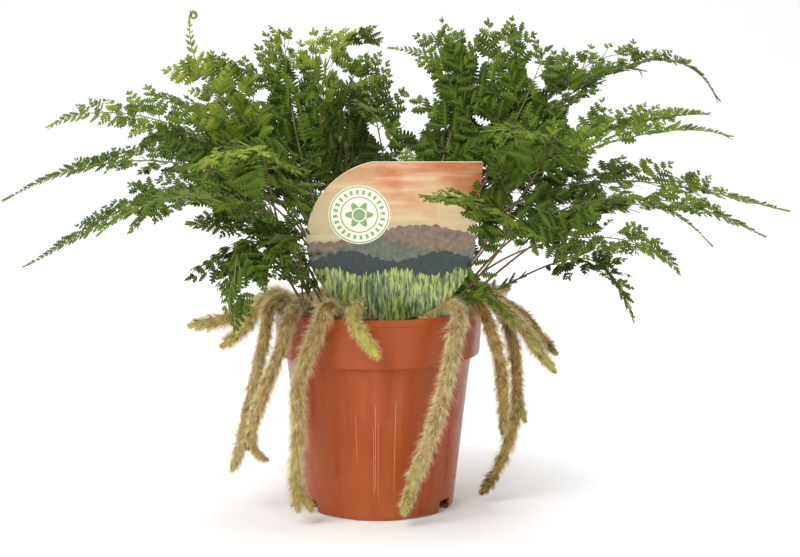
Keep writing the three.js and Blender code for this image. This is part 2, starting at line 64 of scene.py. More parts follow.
def makeCamera():
    data = bpy.data.cameras.new("viewCamera")
    data.lens = cameraSettings["lens"]
    data.sensor_width = cameraSettings["sensor"]
    camera = linkObject("viewCamera", data)
    camera.location = cameraSettings["place"]
    camera.rotation_euler = (math.radians(90 - cameraSettings["pitchDown"]), 0, 0)
    bpy.context.scene.camera = camera


makeCamera()
print("camera placed")


# Small vector and mesh helpers


def unit(vectors):
    return vectors / np.linalg.norm(vectors, axis=-1, keepdims=True)


def spin(vectors, axes, angles):
    # turns vectors about unit axes by angles in radians
    angles = np.asarray(angles)[..., None]
    along = np.sum(vectors * axes, axis=-1, keepdims=True)
    turned = vectors * np.cos(angles) + np.cross(axes, vectors) * np.sin(angles)
    return turned + axes * along * (1 - np.cos(angles))


def blendRange(low, high, share):
    return low + (high - low) * share


def sway(rng, reach):
    return rng.uniform(-reach, reach)


def part(points, triangles, uv, cells, slot=0, smooth=False, **attributes):
    # cells says which square of the piece's texture map each triangle has
    return {
        "points": points,
        "triangles": triangles,
        "uv": uv,
        "cells": cells,
        "slot": slot,
        "smooth": smooth,
        "attributes": attributes,
    }


def joinParts(name, parts, materials):
    # one mesh object out of many parts, each with its own square in the texture map
    starts = np.cumsum([0] + [len(p["points"]) for p in parts])
    points = np.concatenate([p["points"] for p in parts])
    triangles = np.concatenate([p["triangles"] + start for p, start in zip(parts, starts)])
    counts = [len(p["triangles"]) for p in parts]
    firstCells = np.cumsum([0] + [int(p["cells"].max()) + 1 for p in parts])
    across = math.ceil(math.sqrt(firstCells[-1]))
    margin = 0.06  # free edge of each square
    uvParts = []
    for p, firstCell in zip(parts, firstCells):
        cells = p["cells"] + firstCell
        corner = np.stack([cells % across, cells // across], axis=-1)[:, None, :]
        uvParts.append((corner + margin + (1 - 2 * margin) * p["uv"]) / across)
    mesh = bpy.data.meshes.new(name)
    mesh.vertices.add(len(points))
    mesh.vertices.foreach_set("co", (points * mm).astype(np.float32).ravel())
    mesh.loops.add(triangles.size)
    mesh.loops.foreach_set("vertex_index", triangles.astype(np.int32).ravel())
    mesh.polygons.add(len(triangles))
    mesh.polygons.foreach_set("loop_start", np.arange(0, triangles.size, 3, dtype=np.int32))
    mesh.polygons.foreach_set("material_index", np.repeat([p["slot"] for p in parts], counts))
    mesh.polygons.foreach_set("use_smooth", np.repeat([p["smooth"] for p in parts], counts))
    layer = mesh.uv_layers.new(name="OFBake")
    layer.data.foreach_set("uv", np.concatenate(uvParts).astype(np.float32).ravel())
    for key in parts[0]["attributes"]:
        values = np.concatenate([np.broadcast_to(p["attributes"][key], len(p["points"])) for p in parts])
        mesh.attributes.new(key, "FLOAT", "POINT").data.foreach_set("value", values.astype(np.float32))
    mesh.update(calc_edges=True)
    mesh.validate()
    for material in materials:
        mesh.materials.append(material)
    return linkObject(name, mesh)


def tube(path, radii, sides, slot=0, **attributes):
    # a round closed tube along a path, its ends drawn to a point
    path = np.asarray(path, float)
    tangents = unit(np.gradient(path, axis=0))
    normal = unit(np.cross(tangents[0], [0.31, 0.87, 0.38]))
    normals = []
    for tangent in tangents:
        normal = unit(normal - tangent * np.dot(normal, tangent))
        normals.append(normal)
    normals = np.array(normals)
    binormals = np.cross(tangents, normals)
    angles = np.linspace(0, 2 * math.pi, sides, endpoint=False)
    cosines, sines = np.cos(angles)[:, None], np.sin(angles)[:, None]
    ring = cosines * normals[:, None] + sines * binormals[:, None]
    radii = np.asarray(radii)
    radii = radii[:, None, None] if radii.ndim == 1 else radii[:, :, None]
    body = (path[:, None] + ring * radii).reshape(-1, 3)
    points = np.concatenate([path[:1], body, path[-1:]])
    last = len(points) - 1
    triangles, uv = [], []
    count = len(path)
    for i in range(count - 1):
        for j in range(sides):
            a, b = 1 + i * sides + j, 1 + i * sides + (j + 1) % sides
            c, d = a + sides, b + sides
            triangles += [(a, b, d), (a, d, c)]
            u, w, v, y = j / sides, (j + 1) / sides, i / (count - 1), (i + 1) / (count - 1)
            uv += [((u, v), (w, v), (w, y)), ((u, v), (w, y), (u, y))]
    for j in range(sides):
        u, w = j / sides, (j + 1) / sides
        triangles.append((0, 1 + (j + 1) % sides, 1 + j))
        uv.append(((u, 0), (w, 0), (u, 0.01)))
        end = 1 + (count - 1) * sides
        triangles.append((last, end + j, end + (j + 1) % sides))
        uv.append(((u, 1), (u, 0.99), (w, 0.99)))
    made = {}
    for key, values in attributes.items():
        values = np.broadcast_to(values, count)
        made[key] = np.concatenate([values[:1], np.repeat(values, sides), values[-1:]])
    cells = np.zeros(len(triangles), int)
    return part(points, np.array(triangles), np.array(uv, float), cells, slot, True, **made)


def stamp(template, origins, along, across, length, width, depth, droop, bend, slot=0, **tones):
    # sets a template down many times: x runs along each copy, y across it and z out of its face
    count = len(origins)
    x, y, z = template["points"].T[:, None, :, None]
    normal = np.cross(along, across)
    column = lambda values: np.broadcast_to(values, count)[:, None, None]
    reach = x * column(length)
    aside = y * column(width) + reach * x * column(bend)
    raised = z * column(depth) - reach * x * column(droop)
    places = origins[:, None] + along[:, None] * reach + across[:, None] * aside + normal[:, None] * raised
    size = len(template["points"])
    triangles = template["triangles"][None] + np.arange(count)[:, None, None] * size
    cells = np.repeat(np.arange(count), len(template["triangles"]))
    uv = np.tile(template["uv"], (count, 1, 1))
    attributes = {key: np.repeat(np.broadcast_to(values, count), size) for key, values in tones.items()}
    for key, values in template["marks"].items():
        attributes[key] = np.tile(values, count)
    places, triangles = places.reshape(-1, 3), triangles.reshape(-1, 3)
    return part(places, triangles, uv, cells, slot, template["smooth"], **attributes)


def onPot(piece, slot, *nodes):
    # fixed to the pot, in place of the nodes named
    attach(piece, "root")
    if nodes:
        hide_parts(*nodes)


# Material helpers


def addNode(tree, kind, inputs=None, **settings):
    made = tree.nodes.new(kind)
    for key, value in settings.items():
        setattr(made, key, value)
    for key, value in (inputs or {}).items():
        if isinstance(value, bpy.types.NodeSocket):
            tree.links.new(value, made.inputs[key])
        else:
            made.inputs[key].default_value = value
    return made


def mathNode(tree, operation, *values, clamp=False):
    made = addNode(tree, "ShaderNodeMath", dict(enumerate(values)), operation=operation, use_clamp=clamp)
    return made.outputs[0]


def scaled(tree, value, gain, offset):
    return mathNode(tree, "MULTIPLY_ADD", value, gain, offset)


def levels(tree, value, gain, offset):
    # a value scaled, moved and held between 0 and 1
    return mathNode(tree, "MULTIPLY_ADD", value, gain, offset, clamp=True)


def product(tree, first, *others):
    for other in others:
        first = mathNode(tree, "MULTIPLY", first, other)
    return first


def stretchNode(tree, place, stretch):
    return addNode(tree, "ShaderNodeVectorMath", {0: place, 1: stretch}, operation="MULTIPLY").outputs[0]


def noiseNode(tree, place, scale, detail, distortion=0.0):
    inputs = {"Vector": place, "Scale": scale, "Detail": detail, "Distortion": distortion}
    return addNode(tree, "ShaderNodeTexNoise", inputs).outputs[0]


def mixColours(tree, factor, first, second, mode="MIX"):
    made = addNode(tree, "ShaderNodeMix", data_type="RGBA", blend_type=mode)
    for index, value in ((0, factor), (6, first), (7, second)):
        if isinstance(value, bpy.types.NodeSocket):
            tree.links.new(value, made.inputs[index])
        else:
            made.inputs[index].default_value = value if index == 0 else (*value, 1)
    return made.outputs[2]


def rampNode(tree, factor, stops):
    made = addNode(tree, "ShaderNodeValToRGB", {"Fac": factor})
    elements = made.color_ramp.elements
    while len(elements) < len(stops):
        elements.new(0.5)
    for element, (place, colour) in zip(elements, stops):
        element.position = place
        element.color = (*colour, 1)
    return made.outputs[0]


def readMark(tree, name):
    return addNode(tree, "ShaderNodeAttribute", attribute_name=name).outputs["Fac"]


def newMaterial(name):
    material = bpy.data.materials.new(name)
    material.use_nodes = True
    tree = material.node_tree
    return material, tree, tree.nodes["Principled BSDF"]


def makeMottle():
    # soft blotches with finer grain on them, as a mask and as a height
    group = bpy.data.node_groups.new("mottle", "ShaderNodeTree")
    face = group.interface
    for name, value in (("Blotch Size", 60), ("Grain Size", 600), ("Contrast", 1)):
        face.new_socket(name, in_out="INPUT", socket_type="NodeSocketFloat").default_value = value
    face.new_socket("Stretch", in_out="INPUT", socket_type="NodeSocketVector").default_value = (1, 1, 1)
    face.new_socket("Mask", in_out="OUTPUT", socket_type="NodeSocketFloat")
    face.new_socket("Height", in_out="OUTPUT", socket_type="NodeSocketFloat")
    given = addNode(group, "NodeGroupInput")
    result = addNode(group, "NodeGroupOutput")
    place = addNode(group, "ShaderNodeTexCoord").outputs["Object"]
    place = stretchNode(group, place, given.outputs["Stretch"])
    blotch = noiseNode(group, place, given.outputs["Blotch Size"], 4.0)
    grain = noiseNode(group, place, given.outputs["Grain Size"], 3.0)
    spread = product(group, mathNode(group, "SUBTRACT", blotch, 0.5), given.outputs["Contrast"])
    fine = mathNode(group, "SUBTRACT", grain, 0.5)
    grainShare = 0.35  # of the grain in the mask
    mask = mathNode(group, "ADD", scaled(group, fine, grainShare, spread), 0.5, clamp=True)
    group.links.new(mask, result.inputs["Mask"])
    group.links.new(grain, result.inputs["Height"])
    return group


mottle = makeMottle()


def useMottle(tree, blotch, grain, contrast, stretch=(1, 1, 1)):
    inputs = {"Blotch Size": blotch, "Grain Size": grain, "Contrast": contrast, "Stretch": stretch}
    made = addNode(tree, "ShaderNodeGroup", node_tree=mottle)
    for key, value in inputs.items():
        made.inputs[key].default_value = value
    return made.outputs["Mask"], made.outputs["Height"]


def addBump(tree, shader, height, strength, distance):
    made = addNode(tree, "ShaderNodeBump", {"Height": height, "Strength": strength, "Distance": distance})
    tree.links.new(made.outputs[0], shader.inputs["Normal"])


# Fronds: foot x, y; midrib at one third, two thirds and the tip; longest leaflet; bare share of the stalk;
# roll of the blade and lift of its sides in degrees; taper, below 1 for a blunt blade and over 1 for a slim
# tail; tone from dark to yellow-green.
fronds = {
    "left_1": [[-22, 3], [-73, 0, 182], [-148, 0, 197], [-213, 0, 174], 34, 0.36, 38, 18, 1.25, 0.22],
    "left_2": [[-27, -5], [-83, -20, 179], [-150, -38, 167], [-192, -50, 144], 34, 0.4, 38, 20, 1.2, 0.2],
    "left_3": [[-33, -14], [-64, -45, 168], [-108, -65, 183], [-146, -80, 164], 26, 0.42, 20, 10, 1.0, 0.3],
    "left_4": [[-20, 15], [-81, 30, 194], [-153, 50, 222], [-199, 60, 211], 40, 0.4, 60, 0, 0.9, 0.42],
    "left_5": [[-12, 18], [-62, 25, 193], [-98, 30, 239], [-109, 35, 279], 38, 0.58, 80, 10, 1.5, 0.62],
    "left_6": [[-14, 30], [-47, 50, 178], [-71, 75, 220], [-106, 85, 254], 50, 0.44, 35, 10, 0.55, 0.3],
    "left_7": [[-24, 24], [-59, 50, 176], [-101, 85, 215], [-142, 105, 231], 50, 0.42, -20, 10, 0.6, 0.36],
    "left_8": [[-29, 11], [-65, 15, 171], [-104, 20, 209], [-140, 25, 202], 42, 0.42, -40, 0, 0.7, 0.3],
    "left_9": [[-37, -5], [-50, -17, 152], [-76, -30, 165], [-105, -40, 166], 22, 0.45, 50, 10, 0.6, 0.24],
    "left_10": [[-42, -27], [-43, -42, 143], [-50, -50, 156], [-58, -53, 167], 22, 0.4, 0, 10, 0.6, 0.22],
    "front_1": [[-27, -16], [-54, -62, 176], [-58, -118, 212], [-88, -160, 206], 40, 0.45, 0, -10, 0.7, 0.5],
    "front_2": [[-34, -23], [-58, -48, 152], [-70, -86, 161], [-72, -105, 118], 50, 0.4, 0, -35, 0.9, 0.18],
    "front_3": [[-22, -28], [-43, -52, 150], [-53, -74, 164], [-62, -90, 140], 38, 0.42, 0, 0, 0.6, 0.25],
    "front_4": [[27, -26], [66, -66, 157], [62, -106, 181], [21, -128, 191], 44, 0.45, 25, 0, 0.7, 0.4],
    "front_5": [[37, -29], [50, -39, 127], [62, -49, 128], [74, -59, 112], 18, 0.4, 0, 0, 0.8, 0.5],
    "front_6": [[26, -14], [66, -50, 167], [87, -85, 210], [52, -115, 221], 44, 0.45, 30, 0, 0.8, 0.3],
    "middle_1": [[-8, 8], [-35, 20, 165], [-50, 40, 218], [-57, 66, 270], 54, 0.52, 0, 10, 0.6, 0.36],
    "middle_2": [[-3, 24], [-29, 34, 178], [-32, 45, 246], [2, 62, 263], 44, 0.5, 40, 20, 0.7, 0.52],
    "middle_3": [[3, 14], [8, 20, 162], [-2, 30, 222], [-6, 35, 259], 38, 0.45, 20, 10, 0.55, 0.28],
    "middle_4": [[-8, -4], [-15, 0, 173], [-18, -10, 228], [12, -25, 207], 34, 0.5, 0, 0, 0.8, 0.2],
    "middle_5": [[12, 7], [30, 20, 165], [46, 40, 220], [86, 55, 272], 46, 0.5, -60, 10, 0.5, 0.27],
    "middle_6": [[8, 26], [27, 45, 171], [42, 70, 226], [31, 85, 269], 50, 0.5, 0, 10, 0.5, 0.34],
    "middle_7": [[17, 30], [42, 55, 176], [46, 90, 235], [4, 105, 259], 34, 0.45, 30, 20, 1.3, 0.42],
    "middle_8": [[-1, 3], [-19, 10, 180], [-16, 16, 228], [-18, 20, 259], 36, 0.5, 20, 10, 0.6, 0.26],
    "middle_9": [[13, 17], [31, 35, 169], [42, 50, 230], [49, 58, 271], 46, 0.5, 0, 10, 0.5, 0.24],
    "right_1": [[22, 10], [53, 20, 168], [80, 40, 218], [99, 60, 261], 54, 0.46, -60, 10, 0.5, 0.26],
    "right_2": [[27, 18], [69, 45, 192], [147, 70, 249], [207, 85, 226], 46, 0.4, -20, 35, 1.2, 0.3],
    "right_3": [[24, 27], [67, 70, 190], [121, 105, 244], [164, 118, 252], 44, 0.42, -20, 35, 0.6, 0.24],
    "right_4": [[29, 8], [70, 11, 183], [144, 20, 217], [192, 25, 222], 42, 0.4, -15, 40, 0.9, 0.44],
    "right_5": [[29, -5], [68, -15, 177], [139, -28, 213], [193, -35, 212], 42, 0.4, -20, 35, 1.3, 0.42],
    "right_6": [[36, 7], [86, 5, 177], [168, 10, 183], [237, 15, 167], 40, 0.38, -25, 20, 1.1, 0.36],
    "right_7": [[36, -7], [90, -20, 166], [152, -30, 179], [213, -35, 158], 38, 0.4, -20, 10, 1.0, 0.32],
    "right_8": [[34, -14], [74, -42, 150], [127, -60, 161], [161, -65, 141], 32, 0.4, -40, 10, 0.8, 0.3],
    "right_9": [[29, 1], [88, 2, 134], [121, -19, 143], [141, -38, 111], 26, 0.5, -20, 10, 0.8, 0.35],
    "right_10": [[38, 14], [68, 24, 151], [109, 35, 170], [155, 45, 163], 40, 0.42, -30, 0, 0.7, 0.4],
    "right_11": [[25, 20], [60, 50, 176], [122, 70, 235], [160, 80, 242], 32, 0.45, -20, 10, 0.6, 0.2],
    "right_12": [[31, -23], [95, -24, 159], [143, -38, 177], [182, -44, 154], 18, 0.45, -20, 10, 1.0, 0.3],
    "back_1": [[-20, 36], [-52, 75, 168], [-88, 115, 206], [-124, 146, 190], 42, 0.42, 0, 10, 0.7, 0.5],
    "back_2": [[-6, 36], [-16, 82, 172], [-26, 132, 206], [-34, 180, 186], 44, 0.42, 0, 10, 0.7, 0.4],
    "back_3": [[6, 36], [16, 80, 158], [30, 122, 186], [44, 160, 160], 40, 0.42, 0, 10, 0.7, 0.45],
    "back_4": [[33, 33], [62, 72, 164], [96, 108, 196], [132, 138, 176], 42, 0.42, 0, 10, 0.7, 0.35],
    "back_5": [[-32, 28], [-74, 62, 154], [-118, 88, 172], [-160, 108, 142], 38, 0.42, 0, 10, 0.7, 0.5],
}

frondSettings = {
    "footHeight": 104.0,
    "stalkRadius": 0.85,
    "ribRadius": 0.55,  # where the blade begins
    "tipRadius": 0.22,
    "sides": 7,
    "leafletStep": (0.42, 2.3, 9.5),  # distance to the next as a share of the length, its least and its most
    "stepRange": (0.85, 1.15),
    "shift": 0.42,  # of one side's leaflets against the other's, in largest steps
    "spread": 1.12,  # how many times further apart the leaflets stand than they would to touch
    "ribEnd": 0.985,
    "baseAngle": 62,
    "endAngle": 30,
    "lengthRange": (0.86, 1.06),
    "reachRange": (0.92, 1.08),
    "bendRange": (-0.06, 0.22),
    "angleSway": 10,
    "foldSway": 15,
    "twistSway": 20,
    "leafletDroop": 0.1,
    "leafletRib": 0.3,
    "leaning": 0.55,  # a frond leans out that reaches further sideways than this share of its length
    "lowerLoss": 0.4,  # how much shorter the near leaflets of a frond that leans out are at its tip
    "shortSide": 0.4,  # length left to the leaflets of a short side
    "openSide": 0.3,  # and to those beside an opening
    "leastSeen": 0.35,  # share of a leaflet that must show beyond an opening for it to be kept whole
    "plainUpTo": 9.5,  # leaflets up to this length are one lobed leaf each
    "plainWidth": 0.36,
    "widthShare": 0.4,  # half width of a leaflet as a share of its length
    "widthSpacing": 1.3,
    "pinnuleGap": 0.5,  # distance from one small leaf to the next as a share of the longest
    "leastGap": 2.2,
    "missing": 0.02,  # share of small leaves left out here and there
    "pinnuleAngle": 54,
    "pinnuleSway": 10,
    "pinnuleTwist": 26,
    "pinnuleLift": (-24, 26),
    "pinnuleRange": (0.8, 1.15),
    "pinnuleWidth": 0.5,
    "endWidth": 0.34,
    "bladeHalf": 0.16,
    "leafletTone": 0.1,  # how much the tone differs from leaflet to leaflet
    "leafTone": 0.16,  # and from leaf to leaf
    "seed": 11,
}


def lobedLeaf(lobes, cut):
    # A small leaf cut into blunt lobes that lean to its tip, thickest along its middle vein.
    # Its +y side is the fuller and more deeply cut one.
    stemEnd, lastValley = 0.1, 0.86
    step = (lastValley - stemEnd) / lobes
    if lobes < 5:
        outline = lambda x: min(1, 0.3 + 1.8 * x) * (1 - 0.8 * x * x)
    else:
        outline = lambda x: min(1, 0.45 + 2.4 * x) * (1 - 0.93 * x) ** 0.6
    middle = [0.0] + [stemEnd + step * k for k in range(lobes + 1)] + [1.0]
    points = []

    def addPoint(x, y, z):
        points.append((x, y, z))
        return len(points) - 1

    edges = {}
    for hand in (1, -1):
        side = [[addPoint(0, 0.05 * hand, 0)]]
        for k in range(lobes + 1):
            x = middle[k + 1]
            fullness = hand if hand > 0 else 0.74 * hand
            depth = cut if hand > 0 else cut + 0.1
            valley = addPoint(x + 0.02 * step, depth * outline(x) * fullness, -0.2)
            if k == lobes:
                side.append([valley, addPoint(0.94, 0.22 * fullness, -0.5)])
                break
            width = outline(x + 0.5 * step) * fullness
            low = addPoint(x + 0.4 * step, 0.82 * width, -0.8)
            peak = addPoint(x + 0.76 * step, width, -1.2)
            high = addPoint(x + 1.02 * step, 0.76 * width, -0.9)
            side.append([valley, low, peak, high])
        edges[hand] = side
    tip = addPoint(1, 0, -0.6)
    tops = [addPoint(x, 0, 1) for x in middle[:-1]]
    bottoms = [addPoint(x, 0, 0) for x in middle[:-1]]
    triangles, faces = [], []
    for face, centre in ((1, tops), (-1, bottoms)):
        for hand in (1, -1):
            side = edges[hand]
            made = [(centre[0], side[0][0], side[1][0]), (centre[0], side[1][0], centre[1])]
            for k in range(1, lobes + 1):
                valley, low, peak, high = side[k]
                following = side[k + 1][0]
                made.append((centre[k], valley, low))
                made.append((centre[k], low, peak))
                made.append((centre[k], peak, high))
                made.append((centre[k], high, following))
                made.append((centre[k], following, centre[k + 1]))
            valley, shoulder = side[-1]
            made.append((centre[-1], valley, shoulder))
            made.append((centre[-1], shoulder, tip))
            for a, b, c in made:
                triangles.append((a, c, b) if face * hand > 0 else (a, b, c))
                faces.append(face)
        made = (centre[0], edges[1][0][0], edges[-1][0][0])
        triangles.append(made if face > 0 else (made[0], made[2], made[1]))
        faces.append(face)
    points = np.array(points)
    triangles = np.array(triangles)
    flat = points[triangles][:, :, :2] * [1, 0.25] + [0, 0.25]
    flat[..., 1] += np.where(np.array(faces) > 0, 0.0, 0.5)[:, None]
    vein = np.clip(1 - np.abs(points[:, 1]) * 2.2, 0, 1)
    under = np.zeros(len(points))
    under[bottoms] = 1
    marks = {"vein": vein, "under": under}
    return {"points": points, "triangles": triangles, "uv": flat, "marks": marks, "smooth": False}


def thinRib():
    # a slim four-sided rib, tapering to its end
    stations = [(0, 1), (0.35, 0.8), (0.7, 0.55), (1, 0.25)]
    points = [(x, r * c, r * s) for x, r in stations for c, s in ((1, 0), (0, 1), (-1, 0), (0, -1))]
    triangles = [(0, 1, 2), (0, 2, 3), (12, 14, 13), (12, 15, 14)]
    for i in range(3):
        for j in range(4):
            a, b = 4 * i + j, 4 * i + (j + 1) % 4
            triangles += [(a, a + 4, b + 4), (a, b + 4, b)]
    points = np.array(points, float)
    triangles = np.array(triangles)
    flat = np.stack([points[triangles][..., 0], points[triangles][..., 1] * 0.5 + 0.5], axis=-1)
    marks = {"vein": np.ones(len(points)), "under": np.zeros(len(points))}
    return {"points": points, "triangles": triangles, "uv": flat, "marks": marks, "smooth": True}


def mirrored(template):
    made = dict(template)
    made["points"] = template["points"] * [1, -1, 1]
    made["triangles"] = template["triangles"][:, ::-1]
    made["uv"] = template["uv"][:, ::-1]
    return made


leafTemplates = {}  # by number of lobes and by fuller side
for lobes, cut in ((2, 0.42), (3, 0.32), (4, 0.26), (5, 0.24), (6, 0.22), (7, 0.2)):
    leafTemplates[lobes, 1] = lobedLeaf(lobes, cut)
    leafTemplates[lobes, -1] = mirrored(leafTemplates[lobes, 1])
ribTemplate = thinRib()


def midrib(row):
    # a cubic curve through the four points, read by its share of the length
    foot, *rest = row[:4]
    controls = np.array([[*foot, frondSettings["footHeight"]], *rest], float)
    t = np.linspace(0, 1, 301)
    a, b, c = t - 1 / 3, t - 2 / 3, t - 1
    weights = np.stack([-4.5 * a * b * c, 13.5 * t * b * c, -13.5 * t * a * c, 4.5 * t * a * b], axis=1)
    points = weights @ controls
    lengths = np.concatenate([[0], np.cumsum(np.linalg.norm(np.diff(points, axis=0), axis=1))])
    tangents = unit(np.gradient(points, axis=0))

    def read(values, shares):
        places = np.asarray(shares) * lengths[-1]
        return np.stack([np.interp(places, lengths, values[:, k]) for k in range(3)], axis=-1)

    outward = controls[3] - controls[0]
    outward[2] = 0
    outward = unit(outward)

    def frames(shares, roll):
        centre, forward = read(points, shares), unit(read(tangents, shares))
        side = np.broadcast_to(np.cross(outward, up), forward.shape)
        side = unit(side - forward * np.sum(side * forward, axis=-1, keepdims=True))
        side = spin(side, forward, np.full(len(forward), math.radians(-roll)))
        return centre, forward, side, np.cross(side, forward)

    return frames, lengths[-1]


def stationAt(frames, share, roll):
    # place, way forward, way to the side and way up of the blade at one point of the midrib
    return [values[0] for values in frames([share], roll)]


def lobesFor(size):
    for least, lobes in ((19.0, 7), (15.0, 6), (10.5, 5), (6.4, 4), (3.4, 3)):
        if size > least:
            return lobes
    return 2


def growLeaflet(station, hand, shape, young, rng):
    # the small leaves of one leaflet, each with its place, two ways, length, width, tone, side and lobes
    s = frondSettings
    origin, forward, side, upper = station
    length, reach, angle, fold, twist, bend = shape
    out = side * hand * math.cos(fold) + upper * math.sin(fold)
    along = out * math.sin(angle) + forward * math.cos(angle)
    across = (forward * math.sin(angle) - out * math.cos(angle)) * hand
    across = spin(across, along, twist)
    top = np.cross(along, across)
    if length < s["plainUpTo"]:
        lobes = lobesFor(1.5 * length)
        return [(origin, along, across, length, length * s["plainWidth"], young, hand, lobes)], along, across

    def ribPoint(x):
        drop = top * s["leafletDroop"] * length * x * x
        place = origin + along * length * x - drop + across * bend * length * x * x
        tangent = unit(along - top * 2 * s["leafletDroop"] * x + across * 2 * bend * x)
        return place, tangent, unit(across - tangent * np.dot(across, tangent))

    rows = []
    count = max(3, round(length * 0.9 / max(s["leastGap"], s["pinnuleGap"] * reach)))
    for k in range(count):
        for sign in (1, -1):
            q = (k + 0.35 + (0.2 if sign > 0 else 0)) / count
            place, tangent, sideways = ribPoint(0.06 + 0.88 * q)
            if rng.random() < s["missing"]:
                continue
            size = reach * (1 - q) ** 0.72 * rng.uniform(*s["pinnuleRange"]) + 0.12 * reach + 0.5
            if sign == hand and k == 0:
                size *= 1.15
            turn = math.radians(s["pinnuleAngle"] + sway(rng, s["pinnuleSway"]) - 10 * q)
            lift = math.radians(rng.uniform(*s["pinnuleLift"]))
            normal = np.cross(tangent, sideways)
            raised = sign * sideways * math.cos(lift) + normal * math.sin(lift)
            leafAlong = unit(tangent * math.cos(turn) + raised * math.sin(turn))
            leafAcross = unit(np.cross(normal, leafAlong))
            leafAcross = spin(leafAcross, leafAlong, math.radians(sway(rng, s["pinnuleTwist"])))
            width = size * s["pinnuleWidth"]
            rows.append((place, leafAlong, leafAcross, size, width, young + 0.12 * q, -sign, lobesFor(size)))
    place, tangent, sideways = ribPoint(0.88)
    size = 0.12 * length + 1.2
    rows.append((place, tangent, sideways, size, size * s["endWidth"], young + 0.15, hand, lobesFor(size)))
    return rows, along, across


curledTips = {
    "left_5": {"radius": 1.8, "turns": 1.1, "rib": (0.5, 0.3), "leaf": 2.6},
}
shortSides = {
    # the side of a frond whose lowest leaflets are short, and how far up its blade
    "middle_3": (1, 0.3),
    "middle_6": (-1, 0.65),
    "middle_8": (1, 0.4),
    "middle_9": (-1, 0.65),
}
openings = {
    # stretches with short leaflets that let daylight through: which side, from and to as shares of the length
    "front_4": [(-1, 0.42, 0.62)],
    "right_8": [(1, 0.38, 0.54)],
    "right_9": [(1, 0.48, 0.54), (-1, 0.48, 0.54)],
    "middle_3": [(-1, 0.81, 0.89)],
    "middle_8": [(-1, 0.83, 0.89)],
    "middle_9": [(1, 0.95, 0.99)],
    "right_2": [(1, 0.63, 0.71)],
    "right_5": [(1, 0.68, 0.76)],
    "right_11": [(1, 0.82, 0.89)],
}
# Daylight between the fronds as seen from the front: x and height of its middle where the line of sight meets
# the pot's axis, half its length and half its width, and its tilt in degrees.
daylight = {
    "eye": [12.3, -962.5, 273.8],
    "gaps": [
        (20, 219, 8.5, 5, 35),
        (78, 142, 11.5, 5, 40),
        (150, 183, 7, 4.5, 0),
        (-1, 214, 7, 4, -45),
        (111, 227, 8, 3, 40),
        (88, 246, 6.5, 3.5, -70),
        (47, 186, 6.5, 3.5, -25),
        (146, 169, 6.5, 3.5, -60),
        (134, 158, 9, 2.5, 60),
        (130, 257, 5.5, 3, -25),
        (-72, 125, 4, 3, -10),
        (58, 221, 4, 3, -15),
        (78, 179, 3.5, 3.5, -60),
        (-12, 259, 5.5, 2, -5),
        (-133, 198, 3.5, 3, -65),
        (-45, 244, 3.5, 2.5, 60),
        (107, 174, 5, 2, 35),
        (-4, 260, 4.5, 2.5, 5),
        (-98, 171, 5, 2, -15),
        (-29, 258, 3.5, 2, 50),
        (56, 142, 4.5, 1.5, 50),
        (-66, 236, 4, 2, 35),
        (130, 182, 4.5, 2, -65),
        (117, 251, 4.5, 1.5, 10),
        (-85, 150, 3, 2, -40),
        (-50, 264, 3.5, 2, -5),
        (99, 233, 3.5, 1.5, 10),
        (-24, 250, 3.5, 2, 5),
    ],
    "card": (7, 151.5, 47.5, 47.5, 0),
    "besideCard": ["front_1", "front_3"],  # fronds whose leaves stay off the card
}
extraLeaflets = {
    # one long leaflet among the short ones of a frond's tail: place, side, length and angle
    "left_5": (0.82, -1, 24, 47),
}
stalkLeaves = {
    # small leaves on the upper stalk: where they begin and end as shares of its length, and their length
    "front_3": (0.28, 1, 12),
    "front_4": (0.12, 0.3, 13),
    "front_6": (0.14, 1, 12),
    "left_6": (0.3, 1, 13),
    "left_8": (0.28, 1, 13),
    "left_9": (0.26, 1, 11),
    "left_3": (0.28, 1, 11),
    "middle_1": (0.32, 1, 13),
    "middle_4": (0.3, 1, 12),
    "middle_8": (0.34, 1, 11),
    "middle_5": (0.24, 1, 11),
    "middle_9": (0.3, 1, 11),
    "right_1": (0.26, 1, 12),
    "right_9": (0.26, 0.4, 11),
    "right_10": (0.24, 1, 11),
    "right_11": (0.26, 1, 11),
}
sparseFronds = {
    # how many times further apart the leaflets of a thinly clad frond stand
    "left_4": 1.5,
    "left_5": 1.8,
    "left_6": 1.12,
    "left_7": 1.25,
    "middle_1": 1.15,
    "middle_2": 1.15,
    "middle_3": 1.25,
    "middle_5": 1.6,
    "middle_6": 1.6,
    "middle_7": 1.3,
    "middle_8": 1.5,
    "middle_9": 1.6,
    "right_1": 1.7,
    "right_2": 1.25,
    "right_3": 1.55,
    "right_11": 1.4,
}


def inDaylight(name, leaves):
    # which of the small leaves would fill an opening
    gaps = daylight["gaps"] + ([daylight["card"]] if name in daylight["besideCard"] else [])
    x, height, halfLength, halfWidth, tilt = np.array(gaps, float).T
    turn = np.radians(tilt)
    origins, along = (np.array([leaf[k] for leaf in leaves]) for k in (0, 1))
    sizes = np.array([leaf[3] for leaf in leaves])[:, None]
    points = np.stack([origins + along * sizes * share for share in (0.2, 0.5, 0.8)])
    eye = np.array(daylight["eye"])
    seen = eye + (points - eye) * (eye[1] / (eye[1] - points[..., 1]))[..., None]
    a, b = seen[..., 0, None] - x, seen[..., 2, None] - height
    forth = (a * np.cos(turn) + b * np.sin(turn)) / halfLength
    aside = (b * np.cos(turn) - a * np.sin(turn)) / halfWidth
    return np.any(forth**2 + aside**2 < 1, axis=(0, 2))


